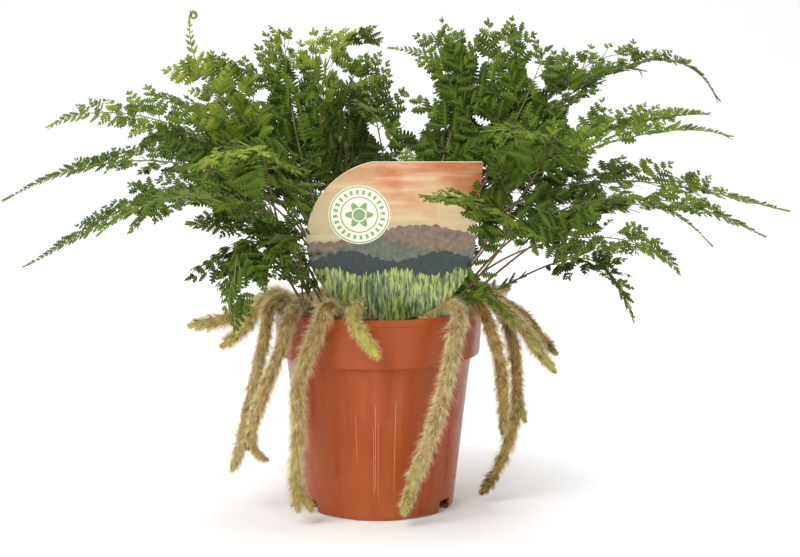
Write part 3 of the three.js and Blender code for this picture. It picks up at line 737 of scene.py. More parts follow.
def growCurl(row, curl, roll):
    # the rolled-up end of a young frond: its rib's path, and small leaves round the outside of the coil
    start, forward, side, upper = stationAt(midrib(row)[0], 1.0, roll)
    count = 26
    turns = np.linspace(0, curl["turns"] * 2 * math.pi, count)
    radius = curl["radius"] * (1 - 0.55 * turns / turns[-1])
    middle = start + side * curl["radius"]
    spoke = forward * np.sin(turns)[:, None] - side * np.cos(turns)[:, None]
    path = middle + spoke * radius[:, None] + upper * (0.05 * turns)[:, None]
    leaves = []
    for i in range(2, count, 2):
        for hand in (1, -1):
            onward = forward * math.cos(turns[i]) + side * math.sin(turns[i])
            along = unit(spoke[i] * 0.7 + onward * 0.8 + upper * hand * 0.8)
            across = unit(np.cross(upper, spoke[i]))
            across = unit(across - along * np.dot(along, across))
            size = curl["leaf"] * (1 - 0.5 * i / count)
            leaves.append((path[i], along, across, size, size * frondSettings["endWidth"], 0.75, hand, 3))
    return path, leaves


def growBlade(name, row, frames, length, rng):
    # leaflets up one side of the midrib and then up the other, and the ribs of the larger ones
    s = frondSettings
    longest, bare, roll, lift, taper, tone = row[4:]
    stepShare, leastStep, mostStep = s["leafletStep"]
    spread = sparseFronds.get(name, s["spread"])
    sideways = (row[3][0] - row[0][0]) / length
    lowerHand = math.copysign(1, sideways) if abs(sideways) > s["leaning"] else 0
    shortHand, shortEnd = shortSides.get(name, (0, 0))
    bladeLength = (s["ribEnd"] - bare) * length
    leaves, ribs = [], []
    for hand, distance in ((1, 0.0), (-1, s["shift"] * mostStep)):
        while distance < bladeLength:
            place = distance / bladeLength
            share = bare + distance / length
            full = longest * (0.05 + 0.98 * (1 - place) ** taper) * rng.uniform(*s["lengthRange"])
            if hand == shortHand and place < shortEnd:
                full *= s["shortSide"]
            if any(side == hand and low <= share <= high for side, low, high in openings.get(name, [])):
                full *= s["openSide"]
            if hand == lowerHand:
                full *= 1 - s["lowerLoss"] * place
            spacing = min(mostStep, max(leastStep, stepShare * full))
            reach = min(s["widthShare"] * full, s["widthSpacing"] * spacing) * rng.uniform(*s["reachRange"])
            angle = math.radians(blendRange(s["baseAngle"], s["endAngle"], place) + sway(rng, s["angleSway"]))
            fold = math.radians(lift + sway(rng, s["foldSway"]))
            twist = math.radians(sway(rng, s["twistSway"]))
            bend = rng.uniform(*s["bendRange"])
            station = stationAt(frames, share, roll)
            station[0] = station[0] + station[2] * hand * 0.3  # from the midrib's side
            # tone darkest near the foot of the blade and lighter towards its tip: painted shade deep inside
            # the plant
            young = tone - 0.1 + 0.26 * place + sway(rng, s["leafletTone"])
            shape = (full, reach, angle, fold, twist, bend)
            rows, along, across = growLeaflet(station, hand, shape, young, rng)
            plain = full < s["plainUpTo"]
            unseen = inDaylight(name, rows)
            first = int(np.argmax(unseen)) if unseen.any() else len(rows)
            if unseen.any() and np.sum(~unseen[first:]) < s["leastSeen"] * len(rows):
                # a leaflet that would lie across an opening ends at its edge
                full *= first / len(rows)
                rows = rows[:first]
            leaves += rows
            if not plain and len(rows) > 4:
                ribs.append((station[0], along, across, full * 0.93, bend, young))
            distance += spacing * spread * rng.uniform(*s["stepRange"])
    return leaves, ribs


def growStalkLeaves(row, rule, frames, length, rng):
    # pairs of small leaves up the stalk
    bare, roll, tone = row[5], row[6], row[9]
    share, lastShare, leafLength = rule
    leaves = []
    while share < min(bare, lastShare):
        middle, forward, side, upper = stationAt(frames, share, roll)
        for hand in (1, -1):
            turn = math.radians(rng.uniform(35, 65))
            out = side * hand + upper * sway(rng, 0.5)
            along = unit(forward * math.cos(turn) + out * math.sin(turn))
            across = unit(np.cross(upper, along))
            size = leafLength * rng.uniform(0.6, 1.1)
            width = size * frondSettings["plainWidth"]
            leaves.append((middle, along, across, size, width, tone + rng.uniform(-0.15, 0.05), hand, 6))
        share += 5.5 / length * rng.uniform(0.8, 1.3)
    return leaves


def growStalk(bare, roll, frames):
    # the stalk and midrib in one, browner at the foot
    s = frondSettings
    shares = np.linspace(0, 1, 40)
    stalk = blendRange(s["stalkRadius"], s["ribRadius"], np.clip(shares / bare, 0, 1))
    rib = blendRange(s["ribRadius"], s["tipRadius"], (shares - bare) / (1 - bare))
    radii = np.where(shares < bare, stalk, rib)
    tone = 0.05 + 0.75 * np.clip((shares - 0.5) / 0.5, 0, 1)
    return tube(frames(shares, roll)[0], radii, s["sides"], slot=1, tone=tone, vein=1.0, under=0.0)


def makeFrond(name, row, materials):
    s = frondSettings
    rng = np.random.default_rng(s["seed"] + sum(map(ord, name)))
    bare, roll, tone = row[5], row[6], row[9]
    frames, length = midrib(row)
    parts = [growStalk(bare, roll, frames)]
    leaves = []
    if name in curledTips:
        curl = curledTips[name]
        path, leaves = growCurl(row, curl, roll)
        radii = np.linspace(*curl["rib"], len(path))
        parts.append(tube(path, radii, s["sides"], slot=1, tone=0.6, vein=1.0, under=0.0))
    bladeLeaves, ribs = growBlade(name, row, frames, length, rng)
    leaves += bladeLeaves
    if name in extraLeaflets:
        share, hand, full, angle = extraLeaflets[name]
        station = stationAt(frames, share, roll)
        shape = (full, full * 0.42, math.radians(angle), 0.1, 0.1, 0.05)
        rows, along, across = growLeaflet(station, hand, shape, tone, rng)
        leaves += rows
        ribs.append((station[0], along, across, full * 0.93, 0.05, tone))
    if name in stalkLeaves:
        leaves += growStalkLeaves(row, stalkLeaves[name], frames, length, rng)
    middle, forward, side, _ = stationAt(frames, 0.965, roll)
    leaves.append((middle, forward, side, length * 0.037, length * 0.007, tone + 0.25, 1, 5))  # the end leaf
    leaves = [leaf for leaf, unseen in zip(leaves, inDaylight(name, leaves)) if not unseen]
    for (lobes, hand), template in leafTemplates.items():
        chosen = [leaf[:6] for leaf in leaves if leaf[7] == lobes and leaf[6] == hand]
        if not chosen:
            continue
        origins, along, across, sizes, widths, tones = (np.array(column, float) for column in zip(*chosen))
        tones = tones + rng.uniform(-s["leafTone"], s["leafTone"], len(tones))
        depth = (s["bladeHalf"] + 0.05 * sizes) * 0.6
        parts.append(stamp(template, origins, along, across, sizes, widths, depth, 0.1, 0.0, tone=tones))
    origins, along, across, sizes, bends, tones = (np.array(column, float) for column in zip(*ribs))
    width, droop, tones = s["leafletRib"], s["leafletDroop"], 0.6 + 0.4 * tones
    rib = stamp(ribTemplate, origins, along, across, sizes, width, width, droop, bends, slot=1, tone=tones)
    parts.append(rib)
    made = joinParts("greenFrond_" + name, parts, materials)
    onPot(made, "young_frond_green" if name in curledTips else "frond_green", "frond_" + name)


leafFinish = {
    "stops": [
        (0.0, (0.010, 0.022, 0.003)),
        (0.3, (0.034, 0.064, 0.006)),
        (0.55, (0.082, 0.132, 0.010)),
        (0.8, (0.190, 0.230, 0.018)),
        (1.0, (0.330, 0.350, 0.036)),
    ],
    "blotches": (120, 900, 1.6),  # blotches and grains to the metre, and their contrast
    "mottle": 0.36,
    "vein": (0.19, 0.25, 0.04),
    "veinDepth": 0.38,
    "underside": (0.12, 0.17, 0.04),
    "undersideDepth": 0.4,
    "roughness": 0.4,  # and up to a quarter more in the blotches
    "shine": 0.05,
    "ribStops": [
        (0.0, (0.15, 0.082, 0.03)),
        (0.35, (0.17, 0.13, 0.04)),
        (0.75, (0.17, 0.23, 0.05)),
        (1.0, (0.2, 0.3, 0.07)),
    ],
    "ribShade": (0.06, 0.05, 0.02),
    "ribBlotches": (120, 1500, 1.0),
    "ribRoughness": 0.45,
}


def makeLeafMaterial():
    f = leafFinish
    material, tree, shader = newMaterial("frondLeaf")
    mask, height = useMottle(tree, *f["blotches"])
    tone = scaled(tree, mathNode(tree, "SUBTRACT", mask, 0.5), f["mottle"], readMark(tree, "tone"))
    colour = rampNode(tree, tone, f["stops"])
    veined = product(tree, mathNode(tree, "POWER", readMark(tree, "vein"), 3.0), f["veinDepth"])
    colour = mixColours(tree, veined, colour, f["vein"])
    under = product(tree, readMark(tree, "under"), f["undersideDepth"])
    colour = mixColours(tree, under, colour, f["underside"])
    tree.links.new(colour, shader.inputs["Base Color"])
    tree.links.new(scaled(tree, mask, 0.25, f["roughness"]), shader.inputs["Roughness"])
    shader.inputs["Specular IOR Level"].default_value = f["shine"]
    addBump(tree, shader, height, 0.25, 0.0003)
    return material


def makeRibMaterial():
    f = leafFinish
    material, tree, shader = newMaterial("frondRib")
    mask, height = useMottle(tree, *f["ribBlotches"])
    colour = rampNode(tree, readMark(tree, "tone"), f["ribStops"])
    colour = mixColours(tree, product(tree, mask, 0.3), colour, f["ribShade"])
    tree.links.new(colour, shader.inputs["Base Color"])
    shader.inputs["Roughness"].default_value = f["ribRoughness"]
    addBump(tree, shader, height, 0.2, 0.0002)
    return material


leafMaterials = [makeLeafMaterial(), makeRibMaterial()]
for name, row in fronds.items():
    makeFrond(name, row, leafMaterials)
print("fronds grown:", len(fronds))


# Furry creeping stems: compass angle at the rim in degrees, then the points that each passes outside the pot,
# and how green its growing tip is.
creepers = {
    "left_1": [-174, [[-76, -3, 113], [-92, -1, 106], [-109, 1, 103]], 0.7],
    "left_2": [-154, [[-62, -33, 106], [-68, -31, 80], [-74, -29, 54], [-78, -26, 37], [-83, -22, 23]], 0.3],
    "left_3": [-134, [[-53, -53, 98], [-60, -51, 80], [-67, -48, 60], [-72, -45, 42]], 0.25],
    "left_4": [-116, [[-37, -64, 100], [-43, -64, 79], [-43, -60, 56], [-45, -56, 28], [-44, -51, 8]], 0.35],
    "left_5": [-164, [[-72, -20, 110], [-80, -22, 101], [-88, -22, 95]], 0.6],
    "front_1": [-101, [[-7, -70, 109], [1, -71, 98]], 1.0],
    "front_2": [
        -48,
        [[42, -60, 107], [39, -66, 92], [34, -64, 72], [28, -60, 50], [21, -58, 31], [14, -56, 8]],
        0.55,
    ],
    "right_1": [-31, [[64, -36, 102], [68, -34, 87], [70, -31, 62], [70, -28, 46]], 0.15],
    "right_2": [
        -6,
        [[74, -7, 104], [78, -9, 84], [79, -8, 60], [76, -8, 42], [69, -8, 22], [59, -8, 6]],
        0.4,
    ],
    "right_3": [-18, [[76, -20, 111], [84, -18, 101], [92, -14, 89], [101, -10, 78]], 0.8],
    "right_4": [13, [[84, 14, 106], [96, 16, 92], [104, 18, 83]], 0.1],
    "back_1": [110, [[-27, 68, 100], [-26, 70, 74], [-20, 67, 46]], 0.3],
    "back_2": [58, [[42, 65, 100], [50, 69, 74]], 0.4],
    "back_3": [34, [[66, 40, 116], [78, 46, 118]], 0.2],
}
creeperBuds = {
    "left_3": [[-69, -47, 52], [-68, -43, 40], [-61, -40, 34]],
    "left_4": [[-45, -56, 26], [-40, -53, 16], [-36, -51, 8]],
    "right_2": [[79, -9, 66], [82, -10, 55], [84, -11, 49]],
}
creeperSettings = {
    "rimCrossing": [[48, 104], [50.8, 113], [54.4, 120.9], [60.3, 123.3], [66.7, 119]],
    "radius": 4.8,  # of stem and fuzz together
    "coreShare": 0.58,
    "root": 0.66,  # share of the full radius at the root
    "tip": 0.62,  # and at the growing tip
    "growth": 130,  # length over which the radius would double at the root
    "budShare": 0.8,
    "step": 1.6,
    "sides": 14,
    "hairsPerMillimetre": 54,
    "hairsPerTuft": 3,
    "hairLength": (3.0, 7.2),
    "hairVariation": (0.6, 1.1),  # of one hair against its tuft
    "hairRadius": 0.065,
    "lean": (0.4, 1.7),  # towards the tip, as a share of how far a hair stands out
    "stray": (0.34, 0.16),  # of a tuft, and of one hair in it
    "curl": (0.4, 0.12),
    "knobs": 0.045,  # unevenness of the stem under the fuzz
    "shaggy": {"left_1": 1.5, "left_5": 1.5, "left_4": 1.15, "front_2": 1.15},
    "lighter": {
        "front_1": 0.5,
        "front_2": 0.85,
        "left_2": 0.35,
        "left_3": 0.45,
        "left_4": 0.3,
        "left_1": 0.15,
        "left_5": 0.15,
        "right_1": -0.3,
        "right_3": 0.6,
    },
    "witheredTip": {"right_2": 15, "right_4": 9, "left_3": 4},  # length of the dark dry end
    "darkTufts": 0.04,
    "darkShareOfTip": 0.6,
    "dryThickness": 1.8,
    "greenLength": 42,  # how far the green of the growing tip fades back
    "green": (0.60, 0.60, 0.10),
    "olive": (0.46, 0.40, 0.12),
    "olivePatches": (28, 240, 2.6),
    "blotches": (110, 1400, 1.6),
    "core": [(0.0, (0.18, 0.105, 0.022)), (0.6, (0.52, 0.36, 0.11))],
    "coreRoughness": 0.8,
    "fuzz": [
        (0.0, (0.13, 0.07, 0.015)),
        (0.06, (0.50, 0.27, 0.05)),
        (0.34, (1.0, 0.64, 0.18)),
        (0.85, (1.0, 0.91, 0.47)),
    ],
    "fuzzRoughness": 0.7,
    "seed": 5,
}


def smoothRoute(points):
    # the centripetal spline that the solid stems follow, sampled evenly
    points = np.array(points, float)
    padded = np.concatenate([[2 * points[0] - points[1]], points, [2 * points[-1] - points[-2]]])
    samples = []
    for p0, p1, p2, p3 in zip(padded, padded[1:], padded[2:], padded[3:]):
        d0, d1, d2 = (math.sqrt(np.linalg.norm(b - a)) for a, b in ((p0, p1), (p1, p2), (p2, p3)))
        start = ((p1 - p0) / d0 - (p2 - p0) / (d0 + d1) + (p2 - p1) / d1) * d1
        end = ((p2 - p1) / d1 - (p3 - p1) / (d1 + d2) + (p3 - p2) / d2) * d1
        t = np.linspace(0, 1, 30, endpoint=False)[:, None]
        places = p1 * (2 * t**3 - 3 * t**2 + 1) + p2 * (3 * t**2 - 2 * t**3)
        samples.append(places + start * (t**3 - 2 * t**2 + t) + end * (t**3 - t**2))
    samples = np.concatenate([*samples, points[-1:]])
    lengths = np.concatenate([[0], np.cumsum(np.linalg.norm(np.diff(samples, axis=0), axis=1))])
    even = np.linspace(0, lengths[-1], max(8, round(lengths[-1] / creeperSettings["step"])))
    return np.stack([np.interp(even, lengths, samples[:, k]) for k in range(3)], axis=-1), lengths[-1]


def growFuzz(path, radii, length, young, shag, lighter, withered, rng):
    # fine hairs that lean towards the tip, each a bent three-sided spike
    s = creeperSettings
    count = round(length * s["hairsPerMillimetre"])
    tangents = unit(np.gradient(path, axis=0))
    tufts = max(20, count // s["hairsPerTuft"])
    tuft = rng.integers(0, tufts, count)
    place = (rng.random(tufts) * (len(path) - 1))[tuft] + rng.normal(scale=0.22, size=count)
    place = np.clip(place, 0, len(path) - 1)
    read = lambda values: np.interp(place, np.arange(len(path)), values)
    centre = np.stack([read(path[:, k]) for k in range(3)], axis=-1)
    tangent = unit(np.stack([read(tangents[:, k]) for k in range(3)], axis=-1))
    radius = read(radii)
    share = place / (len(path) - 1)
    around = unit(unit(rng.normal(size=(tufts, 3)))[tuft] + rng.normal(scale=0.14, size=(count, 3)))
    around = unit(around - tangent * np.sum(around * tangent, axis=-1, keepdims=True))
    atTip = share > 1 - 4 / length
    around[atTip] = unit(around[atTip] + tangent[atTip] * rng.uniform(0, 1.6, (int(atTip.sum()), 1)))
    root = centre + around * (radius * 0.96)[:, None]

    def scatter(ofTuft, ofHair):
        return rng.normal(scale=ofTuft, size=(tufts, 3))[tuft] + rng.normal(scale=ofHair, size=(count, 3))

    lean = rng.uniform(*s["lean"], (tufts, 1))[tuft]
    direction = unit(around + tangent * lean + scatter(*s["stray"]))
    size = (rng.uniform(*s["hairLength"], tufts)[tuft] * rng.uniform(*s["hairVariation"], count))[:, None]
    size = size * shag * np.minimum(1, radius[:, None] / 2.6) * (1 + 0.5 * (1 - share[:, None]) ** 3)
    middle = root + direction * size * 0.5
    tip = middle + unit(direction + tangent * 0.25 - up * 0.3 + scatter(*s["curl"])) * size * 0.5
    first = unit(np.cross(direction, unit(rng.normal(size=(count, 3)))))
    second = np.cross(direction, first)
    corners = [first, second * 0.87 - first * 0.5, -second * 0.87 - first * 0.5]
    dry = rng.random(tufts)
    atDryEnd = share > 1 - withered / length
    dry = (dry < s["darkTufts"])[tuft] | (atDryEnd & (dry < s["darkShareOfTip"])[tuft])
    thickness = np.where(dry, s["dryThickness"], 1.0)[:, None] * s["hairRadius"]
    points = [root + c * thickness for c in corners]
    points += [middle + c * thickness * 0.75 for c in corners] + [tip]
    points = np.stack(points, axis=1)
    hair = [(0, 2, 1), (0, 1, 4), (0, 4, 3), (1, 2, 5), (1, 5, 4), (2, 0, 3), (2, 3, 5)]
    hair = np.array(hair + [(3, 4, 6), (4, 5, 6), (5, 3, 6)])
    flat = np.array([(0, 0), (0, 0.5), (0, 1), (0.5, 0), (0.5, 0.5), (0.5, 1), (1, 0.5)])
    triangles = hair[None] + np.arange(count)[:, None, None] * 7
    uv = np.tile(flat[hair], (count, 1, 1))
    cells = np.repeat(np.arange(count), len(hair))
    along = np.tile([0, 0, 0, 0.5, 0.5, 0.5, 1.0], count)
    growing = young * np.clip((share - 1) * length / s["greenLength"] + 1, 0, 1)
    growing = np.repeat(np.where(dry, 0, growing + rng.uniform(-0.12, 0.12, tufts)[tuft]), 7)
    tint = np.repeat(np.where(dry, -2.0, rng.random(tufts)[tuft] + lighter), 7)
    points, triangles = points.reshape(-1, 3), triangles.reshape(-1, 3)
    return part(points, triangles, uv, cells, 1, True, along=along, growing=growing, tint=tint)


def growStem(route, fullRadius, young, rng, shag=1, lighter=0, withered=0):
    s = creeperSettings
    path, length = smoothRoute(route)
    count = len(path)
    share = np.arange(count) / (count - 1)
    distance = share * length
    taper = np.minimum(np.minimum(1, s["root"] + distance / s["growth"]), s["tip"] + 1.5 * (1 - share))
    radii = fullRadius * taper * s["coreShare"] * (1 + 0.05 * np.sin(distance * 0.5))
    radii = radii * np.sqrt(np.clip((length - distance) / 4, 0.02, 1))
    knobs = radii[:, None] * (1 + rng.normal(scale=s["knobs"], size=(count, s["sides"])))
    growing = young * np.clip((share - 1) * length / s["greenLength"] + 1, 0, 1)
    core = tube(path, knobs, s["sides"], along=0.0, growing=growing, tint=0.3 + 0.2 * lighter)
    return [core, growFuzz(path, radii, length, young, shag, lighter, withered, rng)]


def makeCreeper(name, row, materials):
    s = creeperSettings
    rng = np.random.default_rng(s["seed"] + sum(map(ord, name)))
    angle, outside, young = row
    x, y = math.cos(math.radians(angle)), math.sin(math.radians(angle))
    route = [[radius * x, radius * y, height] for radius, height in s["rimCrossing"]] + outside
    lighter = s["lighter"].get(name, 0)
    withered = s["witheredTip"].get(name, 0)
    parts = growStem(route, s["radius"], young, rng, s["shaggy"].get(name, 1), lighter, withered)
    if name in creeperBuds:
        parts += growStem(creeperBuds[name], s["radius"] * s["budShare"], young, rng)
    made = joinParts("furryStem_" + name, parts, materials)
    onPot(made, "furry_stem", "creeper_" + name)


def makeFuzzMaterial(name, stops, roughness):
    material, tree, shader = newMaterial(name)
    mask, height = useMottle(tree, *creeperSettings["blotches"])
    factor = scaled(tree, readMark(tree, "along"), 0.55, product(tree, readMark(tree, "tint"), 0.4))
    factor = levels(tree, mathNode(tree, "SUBTRACT", mask, 0.5), 0.7, factor)
    colour = rampNode(tree, factor, stops)
    patches, _ = useMottle(tree, *creeperSettings["olivePatches"])
    colour = mixColours(tree, product(tree, patches, 0.14), colour, creeperSettings["olive"])
    growing = mathNode(tree, "MULTIPLY", readMark(tree, "growing"), 0.9, clamp=True)
    colour = mixColours(tree, growing, colour, creeperSettings["green"])
    tree.links.new(colour, shader.inputs["Base Color"])
    shader.inputs["Roughness"].default_value = roughness
    shader.inputs["Specular IOR Level"].default_value = 0.2
    shader.inputs["Subsurface Weight"].default_value = 0.4
    shader.inputs["Subsurface Radius"].default_value = (1.0, 0.7, 0.35)
    shader.inputs["Subsurface Scale"].default_value = 0.002
    addBump(tree, shader, height, 0.3, 0.0004)
    return material


fuzzMaterials = [
    makeFuzzMaterial("stemCore", creeperSettings["core"], creeperSettings["coreRoughness"]),
    makeFuzzMaterial("stemFuzz", creeperSettings["fuzz"], creeperSettings["fuzzRoughness"]),
]
# short stems that lie on the soil among the stalks
runners = {
    "west": [[-53, 14, 112], [-48, -3, 118], [-39, -19, 120], [-25, -31, 117], [-12, -36, 111]],
    "middle": [[-38, 32, 111], [-34, 12, 119], [-27, -6, 121], [-14, -19, 116], [-2, -24, 111]],
    "north": [[-20, 40, 111], [2, 38, 118], [22, 34, 118], [38, 24, 112]],
    "east": [[54, 6, 112], [47, -8, 118], [39, -20, 119], [30, -34, 114], [22, -40, 111]],
}


def makeRunners(materials):
    # all in one piece, as they lie under one another
    rng = np.random.default_rng(creeperSettings["seed"])
    parts = []
    for route in runners.values():
        parts += growStem(route, creeperSettings["radius"] * 0.9, 0.1, rng, 1.3)
    onPot(joinParts("furryRunners", parts, materials), "furry_stem")


for name, row in creepers.items():
    makeCreeper(name, row, fuzzMaterials)
makeRunners(fuzzMaterials)
print("creeping stems grown:", len(creepers))


# Pot

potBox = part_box("pot")
potHeight = potBox[1].z / mm
potRim = potBox[1].x / mm
potSettings = {
    "wall": 1.4,
    "floor": 2.0,
    "baseRadius": 43.0,
    "shoulderRadius": 53.0,
    "bandHeight": 27.5,
    "bandFootRadius": 58.0,
    "lip": 4.2,  # height of the bead under the rim
    "sides": 256,
    "drains": [(angle, 11.0, 7.0, 9.0) for angle in (30, 150, 210, 330)],  # angle, width, height, depth
    "vents": [(angle, 20.0, 1.2, 7.0) for angle in (58, 122, 238, 302)],
    "colour": (0.37, 0.076, 0.014),
    "shade": (0.31, 0.060, 0.010),
    "stain": (0.30, 0.040, 0.004),
    "stainDepth": 0.75,
    "blotches": (22, 900, 1.4),
    "runs": (70, 300, 3.8, (1, 1, 0.012)),  # drawn out down the wall
    # pale vertical streaks, partly scuff wear and partly painted highlight
    "scuffsAndSheen": (210, 700, 5.0, (1, 1, 0.02)),
    "dusting": (130, 1500, 1.6),
    # colour of the real dust near the foot and of the painted highlight streaks
    "dustAndSheen": (0.52, 0.20, 0.08),
    "dustDepth": 0.22,
    "dustHeight": 1 / 24,  # metres up the wall where it has faded away
    "scuffSheenDepth": 0.1,
    "roughness": 0.26,
    "shine": 0.25,
    # pale colour of the painted highlight lines along fine scratches
    "scratchHighlight": (0.72, 0.36, 0.18),
    "scratchHighlights": [
        # painted highlights where light catches fine vertical scratches: compass angle, lowest and highest
        # point in millimetres, strength
        (-92.7, 12, 58, 0.5),
        (-91.4, 16, 70, 0.6),
        (-89.6, 10, 62, 0.4),
        (-78.6, 14, 74, 0.6),
        (-104.0, 30, 66, 0.4),
        (-62.0, 20, 60, 0.4),
        (35.0, 18, 70, 0.5),
        (128.0, 14, 60, 0.6),
        (170.0, 25, 76, 0.5),
    ],
}


def roundedProfile(corners, sweep=5):
    # rounds each corner (radius, height, rounding) of a closed outline
    made = []
    count = len(corners)
    for i, (x, y, rounding) in enumerate(corners):
        here = np.array([x, y])
        if rounding == 0:
            made.append(here)
            continue
        before = np.array(corners[i - 1][:2])
        after = np.array(corners[(i + 1) % count][:2])
        start = here + unit(before - here) * rounding
        end = here + unit(after - here) * rounding
        for t in np.linspace(0, 1, sweep):
            made.append(start * (1 - t) ** 2 + here * 2 * t * (1 - t) + end * t * t)
    return made


def latheObject(name, profile, sides):
    mesh = bmesh.new()
    rings = []
    for radius, height in profile:
        if radius < 0.01:
            rings.append([mesh.verts.new((0, 0, height * mm))])
            continue
        angles = np.linspace(0, 2 * math.pi, sides, endpoint=False)
        places = [(radius * math.cos(a) * mm, radius * math.sin(a) * mm, height * mm) for a in angles]
        rings.append([mesh.verts.new(place) for place in places])
    for low, high in zip(rings, rings[1:]):
        for j in range(sides):
            k = (j + 1) % sides
            corners = [low[j % len(low)], low[k % len(low)], high[k % len(high)], high[j % len(high)]]
            mesh.faces.new(list(dict.fromkeys(corners)))
    bmesh.ops.recalc_face_normals(mesh, faces=mesh.faces)
    data = bpy.data.meshes.new(name)
    mesh.to_mesh(data)
    mesh.free()
    return linkObject(name, data)


def applyModifiers(piece):
    evaluated = piece.evaluated_get(bpy.context.evaluated_depsgraph_get())
    data = bpy.data.meshes.new_from_object(evaluated)
    piece.modifiers.clear()
    piece.data = data


def makePot():
    s = potSettings
    shoulder = potHeight - s["bandHeight"]
    lipFoot = potHeight - s["lip"]
    profile = roundedProfile(
        [
            (0, 0, 0),
            (s["baseRadius"] - 5.5, 0, 0),
            (s["baseRadius"], 0, 1.6),
            (s["shoulderRadius"], shoulder - 1.5, 1.2),
            (s["bandFootRadius"], shoulder, 1.0),
            (potRim - 0.75, lipFoot, 0.4),
            (potRim - 0.1, lipFoot + 0.5, 0.3),
            (potRim, potHeight, 0.6),
            (potRim - s["wall"], potHeight, 0.5),
            (s["bandFootRadius"] - s["wall"], shoulder + s["wall"], 0.8),
            (s["shoulderRadius"] - s["wall"], shoulder, 0.8),
            (s["baseRadius"] - s["wall"], s["floor"], 1.2),
            (0, s["floor"], 0),
        ]
    )
    pot = latheObject("nurseryPot", profile, s["sides"])
    cutters = []
    for angle, width, height, depth in s["drains"] + s["vents"]:
        reach = depth + 6
        middle = s["baseRadius"] - depth + reach / 2
        data = bpy.data.meshes.new("potNotch")
        mesh = bmesh.new()
        bmesh.ops.create_cube(mesh, size=mm)
        bmesh.ops.scale(mesh, vec=(reach, width, 2 * height), verts=mesh.verts)
        bmesh.ops.translate(mesh, vec=(middle * mm, 0, 0), verts=mesh.verts)
        mesh.to_mesh(data)
        mesh.free()
        cutter = linkObject("potNotch", data)
        cutter.rotation_euler.z = -math.radians(angle)
        modifier = pot.modifiers.new("notch", "BOOLEAN")
        modifier.operation = "DIFFERENCE"
        modifier.object = cutter
        cutters.append(cutter)
    applyModifiers(pot)
    for cutter in cutters:
        bpy.data.objects.remove(cutter)
    pot.data.shade_smooth()
    pot.data.set_sharp_from_angle(angle=math.radians(32))
    pot.data.materials.append(makePotMaterial())
    onPot(pot, "pot_plastic", "pot")


def makePotMaterial():
    s = potSettings
    material, tree, shader = newMaterial("potPlastic")
    place = addNode(tree, "ShaderNodeTexCoord").outputs["Object"]
    split = addNode(tree, "ShaderNodeSeparateXYZ", {0: place})
    height = split.outputs["Z"]
    mask, grain = useMottle(tree, *s["blotches"])
    colour = mixColours(tree, mask, s["shade"], s["colour"])
    runs, _ = useMottle(tree, *s["runs"])
    wet = product(tree, mathNode(tree, "POWER", runs, 3.0), s["stainDepth"])
    colour = mixColours(tree, wet, colour, s["stain"])
    # pale vertical streaks: partly scuffs, partly painted highlight
    scuffsAndSheen, _ = useMottle(tree, *s["scuffsAndSheen"])
    scuffsAndSheen = product(tree, mathNode(tree, "POWER", scuffsAndSheen, 20.0), s["scuffSheenDepth"])
    colour = mixColours(tree, scuffsAndSheen, colour, s["dustAndSheen"])
    # thin pale vertical lines: painted highlights where light catches fine scratches
    turn = mathNode(tree, "ARCTAN2", split.outputs["Y"], split.outputs["X"])
    for degrees, low, high, strength in s["scratchHighlights"]:
        aside = mathNode(tree, "ABSOLUTE", mathNode(tree, "SUBTRACT", turn, math.radians(degrees)))
        line = levels(tree, aside, -220.0, 1.2)
        above = levels(tree, height, 150.0, -150.0 * low * mm)
        below = levels(tree, height, -150.0, 150.0 * high * mm)
        line = product(tree, product(tree, line, above), product(tree, below, strength))
        colour = mixColours(tree, line, colour, s["scratchHighlight"])
    dusty, _ = useMottle(tree, *s["dusting"])
    low = levels(tree, height, -1 / s["dustHeight"], 1.0)
    colour = mixColours(tree, product(tree, dusty, low, s["dustDepth"]), colour, s["dustAndSheen"])
    tree.links.new(colour, shader.inputs["Base Color"])
    rough = scaled(tree, dusty, 0.2, s["roughness"])
    tree.links.new(scaled(tree, wet, -0.12, rough), shader.inputs["Roughness"])
    shader.inputs["Specular IOR Level"].default_value = s["shine"]
    addBump(tree, shader, grain, 0.06, 0.0003)
    return material


makePot()
print("pot turned and notched")


# Soil

soilSettings = {
    "level": 111.0,
    "edge": 1.7,  # inside the pot's outer face
    "sides": 96,
    "grit": 0.28,
    "crumbs": 1500,
    "crumbSize": (0.7, 2.6),
    "seed": 3,
    "blotches": (300, 1600, 2.2),
    "dark": (0.006, 0.004, 0.003),
    "light": (0.045, 0.030, 0.018),
}


def soilHeight(x, y):
    return 0.8 * np.sin(x * 0.31 + 1) * np.cos(y * 0.27) + 0.4 * np.sin(x * 0.9) * np.sin(y * 0.8 + 0.5) - 0.6


def crumbBall():
    # the corners and sides of a twenty-sided ball
    golden = (1 + math.sqrt(5)) / 2
    signs = [(a, b) for b in (golden, -golden) for a in (-1, 1)]
    corners = [(a, b, 0) for a, b in signs] + [(0, a, b) for a, b in signs] + [(b, 0, a) for a, b in signs]
    sides = [(0, 11, 5), (0, 5, 1), (0, 1, 7), (0, 7, 10), (0, 10, 11), (1, 5, 9), (5, 11, 4)]
    sides += [(11, 10, 2), (10, 7, 6), (7, 1, 8), (3, 9, 4), (3, 4, 2), (3, 2, 6), (3, 6, 8)]
    sides += [(3, 8, 9), (4, 9, 5), (2, 4, 11), (6, 2, 10), (8, 6, 7), (9, 8, 1)]
    return unit(np.array(corners)), np.array(sides)


